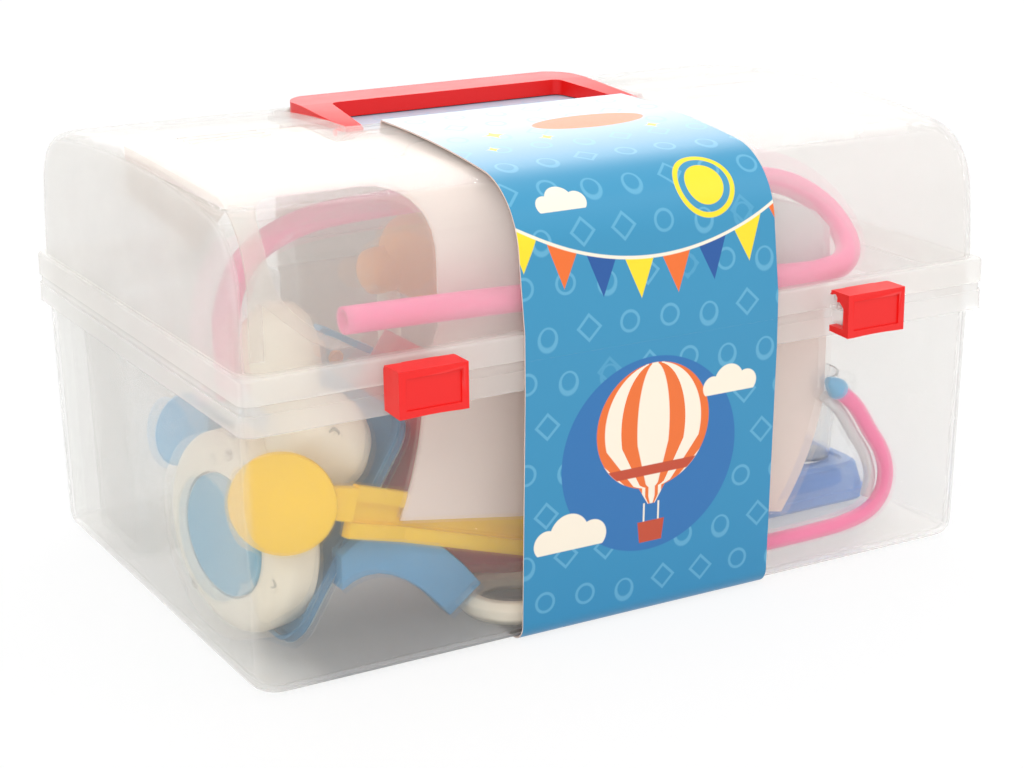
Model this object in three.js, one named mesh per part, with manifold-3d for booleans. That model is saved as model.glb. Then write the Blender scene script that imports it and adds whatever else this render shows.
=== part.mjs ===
// Toy doctor case: a frosted case with a domed hinged lid, red bail handle, two red
// latches, a printed card band round its middle and a set of toy instruments inside.
// Millimetres, +Z up, front towards -Y, length along X, origin on the ground under the middle.
import * as THREE from "three";
import { mergeVertices } from "three/addons/utils/BufferGeometryUtils.js";
import Module from "manifold-3d";

const wasm = await Module();
wasm.setup();

// Driving dimensions of the case
const gap = 0.3;
const overrun = 4;
const rimLength = 260;
const rimDepth = 174.6;
const rimRadius = 4;
const rimBottom = 80.2;
const rimStepHeight = 2.6;
const rimStepIn = 0.5;
const seam = 88.9;
const flangeTop = 96.8;
const flangeEdge = 1;
const rimOverhang = 1.4;
const tubDraft = 1.2;
const tubTopLength = rimLength - 2 * rimOverhang;
const tubTopDepth = rimDepth - 2 * rimOverhang;
const tubBaseLength = tubTopLength - 2 * tubDraft;
const tubBaseDepth = tubTopDepth - 2 * tubDraft;
const tubRadius = 9;
const baseEdge = 5;
const wall = 1.6;
const floorWall = 1.8;
const footHeight = 1;
const footRadius = 8;
const footInset = 28;

// Domed lid
const flangeStep = 1.2;
const lidLength = rimLength - 2 * flangeStep;
const lidDepth = rimDepth - 2 * flangeStep;
const lidTop = 144.3;
const lidWall = 1.5;
const lidDraft = THREE.MathUtils.degToRad(3.2);
const lidEndDraft = THREE.MathUtils.degToRad(1.2);
const shoulderRadius = 23;
const crownRadius = 480;
const lidEndCorner = 7.5;
const lidEndEdge = 3.5;
const ribLength = 26;
const ribWidth = 1.2;
const ribHeight = 0.5;
const ribPitch = 5;
const ribFromEnd = 22;

// Rear hinges
const hingeOut = 3.6;
const hingeSpacing = 144;
const hingeRod = 1.4;
const hingeKnuckle = 2.9;
const hingeKnuckleWidth = 8;
const hingeArmWidth = 3;
const hingeArmRadius = 2.5;
const hingeWebHeight = 4;

// Handle and the well that it lies in
const handleWidth = 107.6;
const handleOpening = 87;
const handleTipOpening = 96;
const handleNose = 2.1;
const handleBack = 55;
const handleBarDepth = 18;
const handleTop = 145.3;
const handleTipHeight = 3.2;
const handlePivotY = 6;
const handleCorner = 12;
const handleInnerCorner = 3;
const handlePin = 1.2;
const handlePinReach = 2.6;
const wellClear = 1;
const wellBackClear = 2.2;
const wellFloor = 139;
const wellFront = 1;
const wellSlope = 2;

// Latches
const latchSpacing = 154;
const latchWidth = 21.8;
const latchTopOver = 2.4;
const latchDrop = 11.3;
const latchReach = 10.4;
const latchFace = 2.6;
const latchHook = 2.4;
const latchHookTip = 1.2;
const latchPanelInset = 2.2;
const latchPanelDepth = 0.5;
const latchTabWidth = 11;
const beadOut = 3.2;
const beadOverSeam = 4.1;
const beadRadius = 1.2;
const beadNeck = 0.9;
const beadWeb = 1.1;
const hookRing = 0.8;
const railWidth = 20;
const catchOut = 5.2;
const catchBottom = 84.5;
const catchWidth = 18;

// Printed card band
const cardThick = 0.5;
const bandWidth = 89;
const bandShift = 2;
const bandStand = 0.3;

// White card liner that the contents are packed behind
const liner = {
  y: -70, thick: 0.8, bend: 24, bendDrop: 5.4, backY: 22, backDrop: 3.1, leftIn: 7.8, rightIn: 48.4,
  waistIn: 43.4, waistTop: 68.5, footLeft: -14, footRight: 45, cornerRightIn: 60.4, cornerRightTop: 17,
  cornerLeftIn: 57.4, cornerLeftTop: 41, edgeIn: 66.4, edgeTop: 85, cutIn: 14.4, cutDrop: 6.1, cutRadius: 16,
  cutSmall: 7, webIn: 39.4, webBottom: 96, webTop: 124, webBend: 108, endFront: -57, endMiddle: -34,
  endLow: 121, endBackLow: 127, wellGap: 4.5,
};

// Stethoscope: tube, headset bow with its tip, chest piece and dial
const tubeSize = { radius: 4, sides: 10, steps: 64 };
const tubeRoute = [
  [-95, -78.4, 106.6], [-66, -78.4, 106], [-36, -78.4, 105], [-6, -78.4, 103.2], [24, -78.4, 101],
  [52, -78.4, 99], [69, -78, 98.2], [80, -75.5, 99], [87, -70, 101.5], [90.5, -62, 106],
  [90, -53, 112], [82, -46.5, 118.5], [66, -43.5, 122.5], [20, -40, 125.5], [-20, -36, 126.5],
  [-58, -32, 126.5], [-86, -29, 123], [-102, -27.5, 114], [-109, -27.6, 99], [-109.5, -28, 84],
  [-109.5, -28, 73],
];
const bowSize = { radius: 3.4, sides: 10, steps: 40, y: -76 };
const bow = {
  start: 105.4, low: 8.8, bendIn: 45, right: 22.4, bendLow: 14.5, middle: 30, shoulder: 29, shoulderTop: 44,
  end: 47.4, top: 59,
};
const chest = {
  fromLeft: 17.9, y: -28, radius: 33, face: 8, lip: 7, edge: 4, rear: 5, cone: 20, coneBack: 8, hub: 15,
  back: 13,
  dial: 19.5, dialDepth: 3, screw: 1.6, screwRing: 26.5, screwDepth: 1.2, stem: 3.6, stemRise: 3.3, turn:
  12,
};

// Toy instruments and dishes
const spatula = {
  fromLeft: 19.9, y: -76, overGrip: 0.946278, thick: 6, head: 16, neck: 5.5, neckEnd: 25, flare: 30, grip: 8.5,
  gripEnd: 7,
  length: 96, rim: 2.6, floor: 1.6, tilt: 23,
};
const tray = { fromLeft: 27.4, front: -60, back: 6, length: 78, height: 7, wall: 1.5, corner: 9, tilt: 48 };
const dish = {
  fromLeft: 70.4, fromRight: 82.4, y: -26, topDepth: 58, flareLength: 34, flareDepth: 20, height: 41,
  wall: 1.6, corner: 10,
};
const arm = {
  front: -67.5, width: 11, left: 34.4, leftTop: 27, crest: 49.4, crestTop: 38, right: 75.4, rightTop:
  11.4,
};
const grip = { fromTip: 14.9, y: -64.5, outer: 17.4, inner: 11, height: 7, round: 2 };
const otoscope = {
  along: 44, front: -68, length: 46, body: 13.4, mouth: 9, nose: 4.2, bore: 2.6, boreDepth: 8,
};
const probe = { x: -47, front: 11, back: 17, width: 26, height: 84, button: 3.2, buttonRise: 1.6, dot: 76 };
const hammer = { x: -26, y: 33, rod: 4, rodTop: 92, ball: 9.5, lobe: 6.8, reach: 12, z: 101 };
const syringe = {
  fromLeft: 14.4, y: 17, flange: 10.5, flangeThick: 2, barrel: 8.4, barrelTop: 46, cone: 3.4, coneTop: 56,
  nozzle: 2.2, top: 64,
};
const caseBox = {
  fromLeft: 35.4, y: 54, length: 58, depth: 44, height: 88, corner: 7, taper: 3, wall: 1.8,
};
const blueBox = {
  fromRight: 35.4, y: -26, length: 54, depth: 40, height: 21, corner: 6, taper: 4, wall: 1.6,
};
const cup = { fromRight: 23.4, y: -27, base: 9, mouth: 12, height: 43, wall: 1.2 };
const paddle = {
  fromRight: 15.4, front: -3.6, back: -0.8, head: 10, headTop: 100, handle: 5, headBottom: 70,
};

// Materials seen in the photograph
const frosted = { color: 0xe6e8e8, roughness: 0.45, metalness: 0, transparent: true, opacity: 0.4 };
const red = { color: 0xed2d26, roughness: 0.35, metalness: 0 };
const cardBlue = { color: 0x50aad2, roughness: 0.5, metalness: 0 };
const cream = { color: 0xe8dfd2, roughness: 0.5, metalness: 0 };
const pink = { color: 0xff91b9, roughness: 0.35, metalness: 0 };
const yellow = { color: 0xffcd46, roughness: 0.4, metalness: 0 };
const paleBlue = { color: 0x8fc9e6, roughness: 0.4, metalness: 0 };
const dialBlue = { color: 0x9fc4d4, roughness: 0.4, metalness: 0 };
const toolBlue = { color: 0x6aa8d8, roughness: 0.4, metalness: 0 };
const deepBlue = { color: 0x4a6fc4, roughness: 0.4, metalness: 0 };
const dishRed = { color: 0xd2424a, roughness: 0.4, metalness: 0 };
const orange = { color: 0xf5a03c, roughness: 0.4, metalness: 0 };

const group = new THREE.Group();

// Solids: closed meshes joined and cut
function toSolid(geometry) {
  const plain = geometry.clone();
  plain.deleteAttribute("normal");
  plain.deleteAttribute("uv");
  const merged = mergeVertices(plain);
  const vertProperties = new Float32Array(merged.attributes.position.array);
  const triVerts = new Uint32Array(merged.index.array);
  return new wasm.Manifold(new wasm.Mesh({ numProp: 3, vertProperties, triVerts }));
}

function toGeometry(solid) {
  const mesh = solid.getMesh();
  const geometry = new THREE.BufferGeometry();
  geometry.setAttribute("position", new THREE.BufferAttribute(new Float32Array(mesh.vertProperties), 3));
  geometry.setIndex(new THREE.BufferAttribute(new Uint32Array(mesh.triVerts), 1));
  geometry.computeVertexNormals();
  return geometry;
}

function joined(first, ...rest) {
  return rest.reduce((sum, piece) => sum.add(piece), first);
}

function cut(body, ...tools) {
  return tools.reduce((left, tool) => left.subtract(tool), body);
}

function addPiece(name, solid, finish, place = new THREE.Vector3(), turn = new THREE.Euler()) {
  const mesh = new THREE.Mesh(toGeometry(solid), new THREE.MeshStandardMaterial(finish));
  mesh.name = name;
  mesh.position.copy(place);
  mesh.rotation.copy(turn);
  group.add(mesh);
  return mesh;
}

// Shapes shared by several pieces
function box(x0, x1, y0, y1, z0, z1) {
  const geometry = new THREE.BoxGeometry(x1 - x0, y1 - y0, z1 - z0);
  geometry.translate((x0 + x1) / 2, (y0 + y1) / 2, (z0 + z1) / 2);
  return toSolid(geometry);
}

function rod(radius, x0, x1, y, z, sides = 20) {
  const geometry = new THREE.CylinderGeometry(radius, radius, x1 - x0, sides);
  geometry.rotateZ(Math.PI / 2);
  geometry.translate((x0 + x1) / 2, y, z);
  return toSolid(geometry);
}

function post(radius, x, y, z0, z1, sides = 24) {
  const geometry = new THREE.CylinderGeometry(radius, radius, z1 - z0, sides);
  geometry.rotateX(Math.PI / 2);
  geometry.translate(x, y, (z0 + z1) / 2);
  return toSolid(geometry);
}

function ring(length, depth, radius, z, steps = 5) {
  const points = [];
  const corners = [[1, 1], [-1, 1], [-1, -1], [1, -1]];
  corners.forEach(([sx, sy], quarter) => {
    for (let step = 0; step <= steps; step += 1) {
      const angle = (quarter + step / steps) * Math.PI / 2;
      const x = sx * (length / 2 - radius) + radius * Math.cos(angle);
      const y = sy * (depth / 2 - radius) + radius * Math.sin(angle);
      points.push(new THREE.Vector3(x, y, z));
    }
  });
  return points;
}

function loft(rings) {
  const count = rings[0].length;
  const positions = rings.flat().flatMap((point) => point.toArray());
  const index = [];
  for (let level = 0; level + 1 < rings.length; level += 1) {
    for (let step = 0; step < count; step += 1) {
      const next = (step + 1) % count;
      const low = level * count;
      const high = low + count;
      index.push(low + step, low + next, high + next);
      index.push(low + step, high + next, high + step);
    }
  }
  const last = (rings.length - 1) * count;
  for (let step = 1; step + 1 < count; step += 1) {
    index.push(0, step + 1, step);
    index.push(last, last + step, last + step + 1);
  }
  const geometry = new THREE.BufferGeometry();
  geometry.setAttribute("position", new THREE.Float32BufferAttribute(positions, 3));
  geometry.setIndex(index);
  return toSolid(geometry);
}

// An outline drawn in the Y-Z plane and drawn out along X
function sideExtrude(shape, x0, x1, curveSegments = 8) {
  const geometry = new THREE.ExtrudeGeometry(shape, { depth: x1 - x0, bevelEnabled: false, curveSegments });
  geometry.rotateY(Math.PI / 2);
  geometry.rotateX(Math.PI / 2);
  geometry.translate(x0, 0, 0);
  return toSolid(geometry);
}

// An outline drawn in the X-Z plane and drawn out along Y
function frontExtrude(shape, y0, y1, curveSegments = 8) {
  const geometry = new THREE.ExtrudeGeometry(shape, { depth: y1 - y0, bevelEnabled: false, curveSegments });
  geometry.rotateX(Math.PI / 2);
  geometry.translate(0, y1, 0);
  return toSolid(geometry);
}

function planExtrude(shape, z0, z1, curveSegments = 8) {
  const geometry = new THREE.ExtrudeGeometry(shape, { depth: z1 - z0, bevelEnabled: false, curveSegments });
  geometry.translate(0, 0, z0);
  return toSolid(geometry);
}

function roundedShape(x0, x1, y0, y1, radii) {
  const [a, b, c, d] = radii;
  const shape = new THREE.Shape();
  shape.moveTo(x0 + a, y0);
  shape.lineTo(x1 - b, y0);
  if (b > 0) shape.absarc(x1 - b, y0 + b, b, -Math.PI / 2, 0);
  shape.lineTo(x1, y1 - c);
  if (c > 0) shape.absarc(x1 - c, y1 - c, c, 0, Math.PI / 2);
  shape.lineTo(x0 + d, y1);
  if (d > 0) shape.absarc(x0 + d, y1 - d, d, Math.PI / 2, Math.PI);
  shape.lineTo(x0, y0 + a);
  if (a > 0) shape.absarc(x0 + a, y0 + a, a, Math.PI, Math.PI * 1.5);
  return shape;
}

function polyShape(points) {
  return new THREE.Shape(points.map(([u, v]) => new THREE.Vector2(u, v)));
}

// Places derived from the driving dimensions
const rimFront = -rimDepth / 2;
const rimBack = rimDepth / 2;
const baseTop = footHeight + floorWall;
const floorSeat = baseTop + gap;
const hingeY = rimBack + hingeOut;
const hingeZ = seam + gap / 2;
const beadHeight = seam + beadOverSeam;
const latchTop = beadHeight + latchTopOver;
const latchBottom = beadHeight - latchDrop;
const handleBottom = wellFloor + bandStand + cardThick + gap;
const handlePivotZ = handleBottom + handleTipHeight / 2;
const wellHalf = handleWidth / 2 + wellClear;
const wellBack = handleBack + wellBackClear;
const handleFront = handlePivotY - handleNose;
const leftEnd = -tubBaseLength / 2;
const rightEnd = tubBaseLength / 2;
const latchCentres = [-latchSpacing / 2, latchSpacing / 2];
const hingeCentres = [-hingeSpacing / 2, hingeSpacing / 2];
const bandStart = bandShift - bandWidth / 2;
const bandEnd = bandShift + bandWidth / 2;

function tubSize(z) {
  const share = (z - footHeight) / (rimBottom - footHeight);
  const length = THREE.MathUtils.lerp(tubBaseLength, tubTopLength, share);
  const depth = THREE.MathUtils.lerp(tubBaseDepth, tubTopDepth, share);
  return { length, depth };
}

// Tub: drafted walls, rounded base edge, proud rim band with a small step, four feet
function tubRings(inset, radius, bottomZ, edge, topZ) {
  const rings = [];
  const edgeSteps = 4;
  for (let step = 0; step <= edgeSteps; step += 1) {
    const angle = step / edgeSteps * Math.PI / 2;
    const inward = inset + edge * (1 - Math.sin(angle));
    const z = bottomZ + edge * (1 - Math.cos(angle));
    const size = tubSize(z);
    const corner = Math.max(radius - edge * (1 - Math.sin(angle)), radius / 4);
    rings.push(ring(size.length - 2 * inward, size.depth - 2 * inward, corner, z));
  }
  const top = tubSize(topZ);
  rings.push(ring(top.length - 2 * inset, top.depth - 2 * inset, radius, topZ));
  return rings;
}

function makeTub() {
  const outer = tubRings(0, tubRadius, footHeight, baseEdge, rimBottom);
  const stepZ = seam - rimStepHeight;
  const innerLength = rimLength - 2 * rimStepIn;
  const innerDepth = rimDepth - 2 * rimStepIn;
  outer.push(ring(rimLength, rimDepth, rimRadius, rimBottom));
  outer.push(ring(rimLength, rimDepth, rimRadius, stepZ));
  outer.push(ring(innerLength, innerDepth, rimRadius, stepZ));
  outer.push(ring(innerLength, innerDepth, rimRadius, seam));
  const inner = tubRings(wall, tubRadius - wall, baseTop, baseEdge - wall, seam).reverse();
  let tub = loft([...outer, ...inner]);
  const feet = [[-1, -1], [1, -1], [-1, 1], [1, 1]].map(([sx, sy]) => post(
    footRadius,
    sx * (tubBaseLength / 2 - footInset),
    sy * (tubBaseDepth / 2 - footInset),
    0,
    footHeight + floorWall / 2,
  ));
  tub = joined(tub, ...feet);
  for (const centre of latchCentres) {
    const lugDepth = rimFront + wall / 2;
    tub = joined(tub, box(centre - catchWidth / 2, centre + catchWidth / 2,
      rimFront - catchOut, lugDepth, catchBottom, seam));
  }
  for (const centre of hingeCentres) {
    const half = hingeKnuckleWidth / 2;
    const bracket = box(centre - half, centre + half, rimBack - wall / 2, hingeY, rimBottom + wall, hingeZ);
    const trim = box(centre - half - gap, centre + half + gap, rimBack - overrun, rimBack + gap,
      seam, seam + overrun);
    const knuckle = rod(hingeKnuckle, centre - half, centre + half, hingeY, hingeZ);
    const bore = rod(hingeRod + gap, centre - half - overrun, centre + half + overrun, hingeY, hingeZ);
    tub = cut(joined(tub, bracket, cut(knuckle, trim)), bore);
  }
  return tub;
}

// Lid cross-section: drafted front and back walls, shoulder arcs and an arched crown
function lidProfile(inset, bottomZ) {
  const half = lidDepth / 2 - inset;
  const radius = shoulderRadius - inset;
  const crown = crownRadius - inset;
  const crownZ = lidTop - crownRadius;
  const sin = Math.sin(lidDraft);
  const cos = Math.cos(lidDraft);
  const startY = -half + radius * cos;
  const startZ = seam - radius * sin - crownZ;
  const b = startY * sin + startZ * cos;
  const c = startY * startY + startZ * startZ - (crown - radius) * (crown - radius);
  const rise = -b + Math.sqrt(b * b - c);
  const centreY = startY + rise * sin;
  const centreZ = startZ + rise * cos + crownZ;
  const wallAngle = Math.PI + lidDraft;
  const crownAngle = Math.atan2(centreZ - crownZ, centreY);
  const front = [[-half + (bottomZ - seam) * Math.tan(lidDraft), bottomZ]];
  const shoulderSteps = 6;
  for (let step = 0; step <= shoulderSteps; step += 1) {
    const angle = THREE.MathUtils.lerp(wallAngle - 2 * lidDraft, crownAngle, step / shoulderSteps);
    front.push([centreY + radius * Math.cos(angle), centreZ + radius * Math.sin(angle)]);
  }
  const crownSteps = 5;
  for (let step = 1; step <= crownSteps; step += 1) {
    const angle = THREE.MathUtils.lerp(crownAngle, Math.PI / 2, step / crownSteps);
    front.push([crown * Math.cos(angle), crownZ + crown * Math.sin(angle)]);
  }
  const back = front.slice(0, -1).reverse().map(([y, z]) => [-y, z]);
  return [...front, ...back];
}

function lidBody(inset, bottomZ) {
  const half = lidLength / 2 - inset;
  const corner = lidEndCorner - inset;
  const edgeShare = (lidEndEdge - inset) / corner;
  const stations = [];
  const edgeSteps = 5;
  for (let step = 0; step <= edgeSteps; step += 1) {
    const angle = step / edgeSteps * Math.PI / 2;
    stations.push([half - corner + corner * Math.cos(angle), corner * (1 - Math.sin(angle))]);
  }
  const all = [...stations, ...stations.slice().reverse().map(([x, drawn]) => [-x, drawn])];
  const rings = all.map(([x, drawn]) => {
    const height = lidTop - inset - drawn - seam;
    const stretch = (height + drawn * (1 - edgeShare)) / height;
    return lidProfile(inset + drawn, bottomZ).map(([y, z]) => {
      const lean = 1 - Math.tan(lidEndDraft) * (z - seam) / half;
      const level = z > flangeTop ? seam + (z - seam) * stretch : z;
      return new THREE.Vector3(x * lean, y, level);
    });
  });
  return loft(rings);
}

// Well in the crown for the handle: steep front, flat floor and a low back edge
function wellBlock(grow) {
  const top = lidTop + overrun;
  const rise = top - wellFloor;
  const run = wellSlope / (lidTop - wellFloor) * rise;
  const outline = polyShape([
    [wellFront + wellSlope - grow, wellFloor - grow], [wellBack + grow, wellFloor - grow],
    [wellBack + grow, top], [wellFront + wellSlope - run - grow, top],
  ]);
  return sideExtrude(outline, -wellHalf - grow, wellHalf + grow);
}

function crownHeight(y) {
  return lidTop - crownRadius + Math.sqrt(crownRadius * crownRadius - y * y);
}

function makeLid() {
  const bottom = seam + gap;
  const flangeRings = [ring(rimLength, rimDepth, rimRadius, bottom)];
  const edgeSteps = 3;
  for (let step = 0; step <= edgeSteps; step += 1) {
    const angle = step / edgeSteps * Math.PI / 2;
    const inward = flangeEdge * (1 - Math.cos(angle));
    const z = flangeTop - flangeEdge * (1 - Math.sin(angle));
    flangeRings.push(ring(rimLength - 2 * inward, rimDepth - 2 * inward, rimRadius, z));
  }
  let lid = joined(lidBody(0, bottom), loft(flangeRings));
  for (const row of [0, 1, 2]) {
    const y = row * ribPitch;
    const outer = ribFromEnd - lidLength / 2;
    const top = crownHeight(y) + ribHeight;
    lid = joined(lid, box(outer, outer + ribLength, y - ribWidth / 2, y + ribWidth / 2, top - lidWall, top));
  }
  const hollow = cut(lidBody(lidWall, bottom - overrun), wellBlock(lidWall));
  const holeEnd = wellHalf + lidWall + gap;
  const pinHole = rod(handlePin + gap, -holeEnd, holeEnd, handlePivotY, handlePivotZ);
  lid = cut(lid, wellBlock(0), hollow, pinHole);
  for (const centre of latchCentres) {
    const x0 = centre - railWidth / 2;
    const x1 = centre + railWidth / 2;
    const beadY = rimFront - beadOut;
    const web = box(x0, x1, beadY - beadNeck / 2, rimFront + wall / 2, bottom, bottom + beadWeb);
    const neck = box(x0, x1, beadY - beadNeck / 2, beadY + beadNeck / 2, bottom, beadHeight);
    lid = joined(lid, web, neck, rod(beadRadius, x0, x1, beadY, beadHeight));
  }
  for (const centre of hingeCentres) {
    const reach = hingeKnuckleWidth / 2 + gap;
    for (const side of [-1, 1]) {
      const x0 = centre + (side > 0 ? reach : -reach - hingeArmWidth);
      const x1 = x0 + hingeArmWidth;
      const arm = rod(hingeArmRadius, x0, x1, hingeY, hingeZ);
      const web = sideExtrude(polyShape([
        [rimBack - wall / 2, bottom],
        [hingeY, bottom],
        [hingeY + hingeArmRadius * Math.SQRT1_2, hingeZ + hingeArmRadius * Math.SQRT1_2],
        [rimBack - wall / 2, bottom + hingeWebHeight],
      ]), x0, x1);
      lid = joined(lid, arm, web);
    }
    lid = joined(lid, rod(hingeRod, centre - reach - gap, centre + reach + gap, hingeY, hingeZ));
  }
  return lid;
}

// Handle: a flat bail that lies in its well, drawn with its pivot pins at the origin
function makeHandle() {
  const half = handleWidth / 2;
  const front = handleFront - handlePivotY;
  const back = handleBack - handlePivotY;
  const bar = back - handleBarDepth;
  const bottom = handleBottom - handlePivotZ;
  const top = handleTop - handlePivotZ;
  const side = polyShape([
    [bottom / 2, bottom], [back - flangeEdge, bottom], [back, bottom + flangeEdge],
    [back, top - flangeEdge], [back - flangeEdge, top], [bar, top], [bottom / 2, -bottom],
    [front, -bottom / 2], [front, bottom / 2],
  ]);
  const body = sideExtrude(side, -half, half, 10);
  const outline = roundedShape(-half, half, front, back, [0, 0, handleCorner, handleCorner]);
  const plan = planExtrude(outline, -half, half);
  const opening = new THREE.Shape();
  opening.moveTo(-handleTipOpening / 2, front - overrun);
  opening.lineTo(handleTipOpening / 2, front - overrun);
  opening.lineTo(handleOpening / 2, bar - handleInnerCorner);
  opening.absarc(handleOpening / 2 - handleInnerCorner, bar - handleInnerCorner, handleInnerCorner,
    0, Math.PI / 2);
  opening.lineTo(handleInnerCorner - handleOpening / 2, bar);
  opening.absarc(handleInnerCorner - handleOpening / 2, bar - handleInnerCorner, handleInnerCorner,
    Math.PI / 2, Math.PI);
  const pins = [-1, 1].map((sign) => {
    const ends = [sign * (half - handlePinReach), sign * (half + handlePinReach)].sort((a, b) => a - b);
    return rod(handlePin, ends[0], ends[1], 0, 0);
  });
  return joined(cut(body.intersect(plan), planExtrude(opening, -half, half)), ...pins);
}

// Latch: a C-shaped clip with its hinge ring at the origin, front towards -Y
function makeLatch() {
  const front = beadOut - latchReach;
  const top = latchTop - beadHeight;
  const bottom = latchBottom - beadHeight;
  const half = latchWidth / 2;
  const hookOuter = beadRadius + gap + hookRing;
  const hookMiddle = hookOuter - hookRing / 2;
  const tip = beadOut - latchHookTip;
  const side = polyShape([
    [front, bottom], [tip, bottom + latchPanelDepth], [tip, bottom + latchHook],
    [front + latchFace, bottom + latchHook], [front + latchFace, -hookOuter], [-hookMiddle, 0],
    [-hookMiddle, hookMiddle], [hookOuter * Math.SQRT1_2, hookMiddle], [hookOuter * Math.SQRT1_2, top],
    [front, top],
  ]);
  const x0 = -half - overrun;
  const x1 = half + overrun;
  const hook = rod(hookOuter, -half, half, 0, 0, 24);
  const mouthBack = box(x0, x1, -beadRadius / 2, overrun, -overrun, hookOuter / 2.5);
  const mouthLow = box(x0, x1, -overrun, overrun, -overrun, -hookRing);
  const bore = rod(beadRadius + gap, x0, x1, 0, 0, 24);
  const panel = box(-half + latchPanelInset, half - latchPanelInset, front - overrun, front + latchPanelDepth,
    bottom + latchPanelInset, top - latchPanelInset);
  const tabTrims = [-1, 1].map((sign) => {
    const ends = [sign * latchTabWidth / 2, sign * x1].sort((a, b) => a - b);
    return box(ends[0], ends[1], hookRing, overrun, hookOuter, overrun);
  });
  const arch = new THREE.Shape();
  arch.moveTo(x0, bottom - overrun);
  arch.lineTo(x1, bottom - overrun);
  arch.lineTo(x1, bottom - latchPanelDepth);
  arch.quadraticCurveTo(0, bottom + 2 * latchPanelDepth, x0, bottom - latchPanelDepth);
  const archCut = frontExtrude(arch, front - overrun, overrun);
  const body = joined(sideExtrude(side, -half, half), cut(hook, mouthBack, mouthLow));
  return cut(body, bore, panel, archCut, ...tabTrims);
}

// Card band: a closed strip that leaves the base, rim and lid and is slit at the seam
const sharpestShare = 0.5;

function bandPath(points, offset) {
  return points.map((point, index) => {
    const before = points[Math.max(index - 1, 0)];
    const after = points[Math.min(index + 1, points.length - 1)];
    const first = new THREE.Vector2(point[0] - before[0], point[1] - before[1]).normalize();
    const second = new THREE.Vector2(after[0] - point[0], after[1] - point[1]).normalize();
    const atEnd = first.lengthSq() === 0 || second.lengthSq() === 0;
    const along = first.clone().add(second).normalize();
    const cosHalf = atEnd ? 1 : Math.max(along.dot(second), sharpestShare);
    return [point[0] - along.y * offset / cosHalf, point[1] + along.x * offset / cosHalf];
  });
}

function bandStrip(points) {
  const outer = bandPath(points, bandStand + cardThick);
  const inner = bandPath(points, bandStand).reverse();
  return sideExtrude(polyShape([...outer, ...inner]), bandStart, bandEnd);
}

function makeUpperBand() {
  const flange = [[rimFront, seam + gap], [rimFront, flangeTop]];
  const profile = lidProfile(0, flangeTop + overrun).slice(1, -1);
  const rear = flange.slice().reverse().map(([y, z]) => [-y, z]);
  const well = [
    [wellFront, crownHeight(wellFront)], [wellFront + wellSlope, wellFloor], [wellBack, wellFloor],
    [wellBack, crownHeight(wellBack)],
  ];
  const before = profile.filter(([y]) => y < wellFront - overrun);
  const after = profile.filter(([y]) => y > wellBack + overrun);
  return bandStrip([...flange, ...before, ...well, ...after, ...rear]);
}

function makeLowerBand() {
  const steps = 4;
  const front = [[rimFront, seam - gap], [rimFront, rimBottom]];
  const edgeY = baseEdge - tubBaseDepth / 2;
  const edgeZ = baseEdge + footHeight;
  for (let step = 0; step <= steps; step += 1) {
    const angle = (1 + step / steps / 2) * Math.PI;
    front.push([edgeY + baseEdge * Math.cos(angle), edgeZ + baseEdge * Math.sin(angle)]);
  }
  const back = front.map(([y, z]) => [-y, z]);
  return bandStrip([...back, ...front.reverse()]);
}

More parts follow.
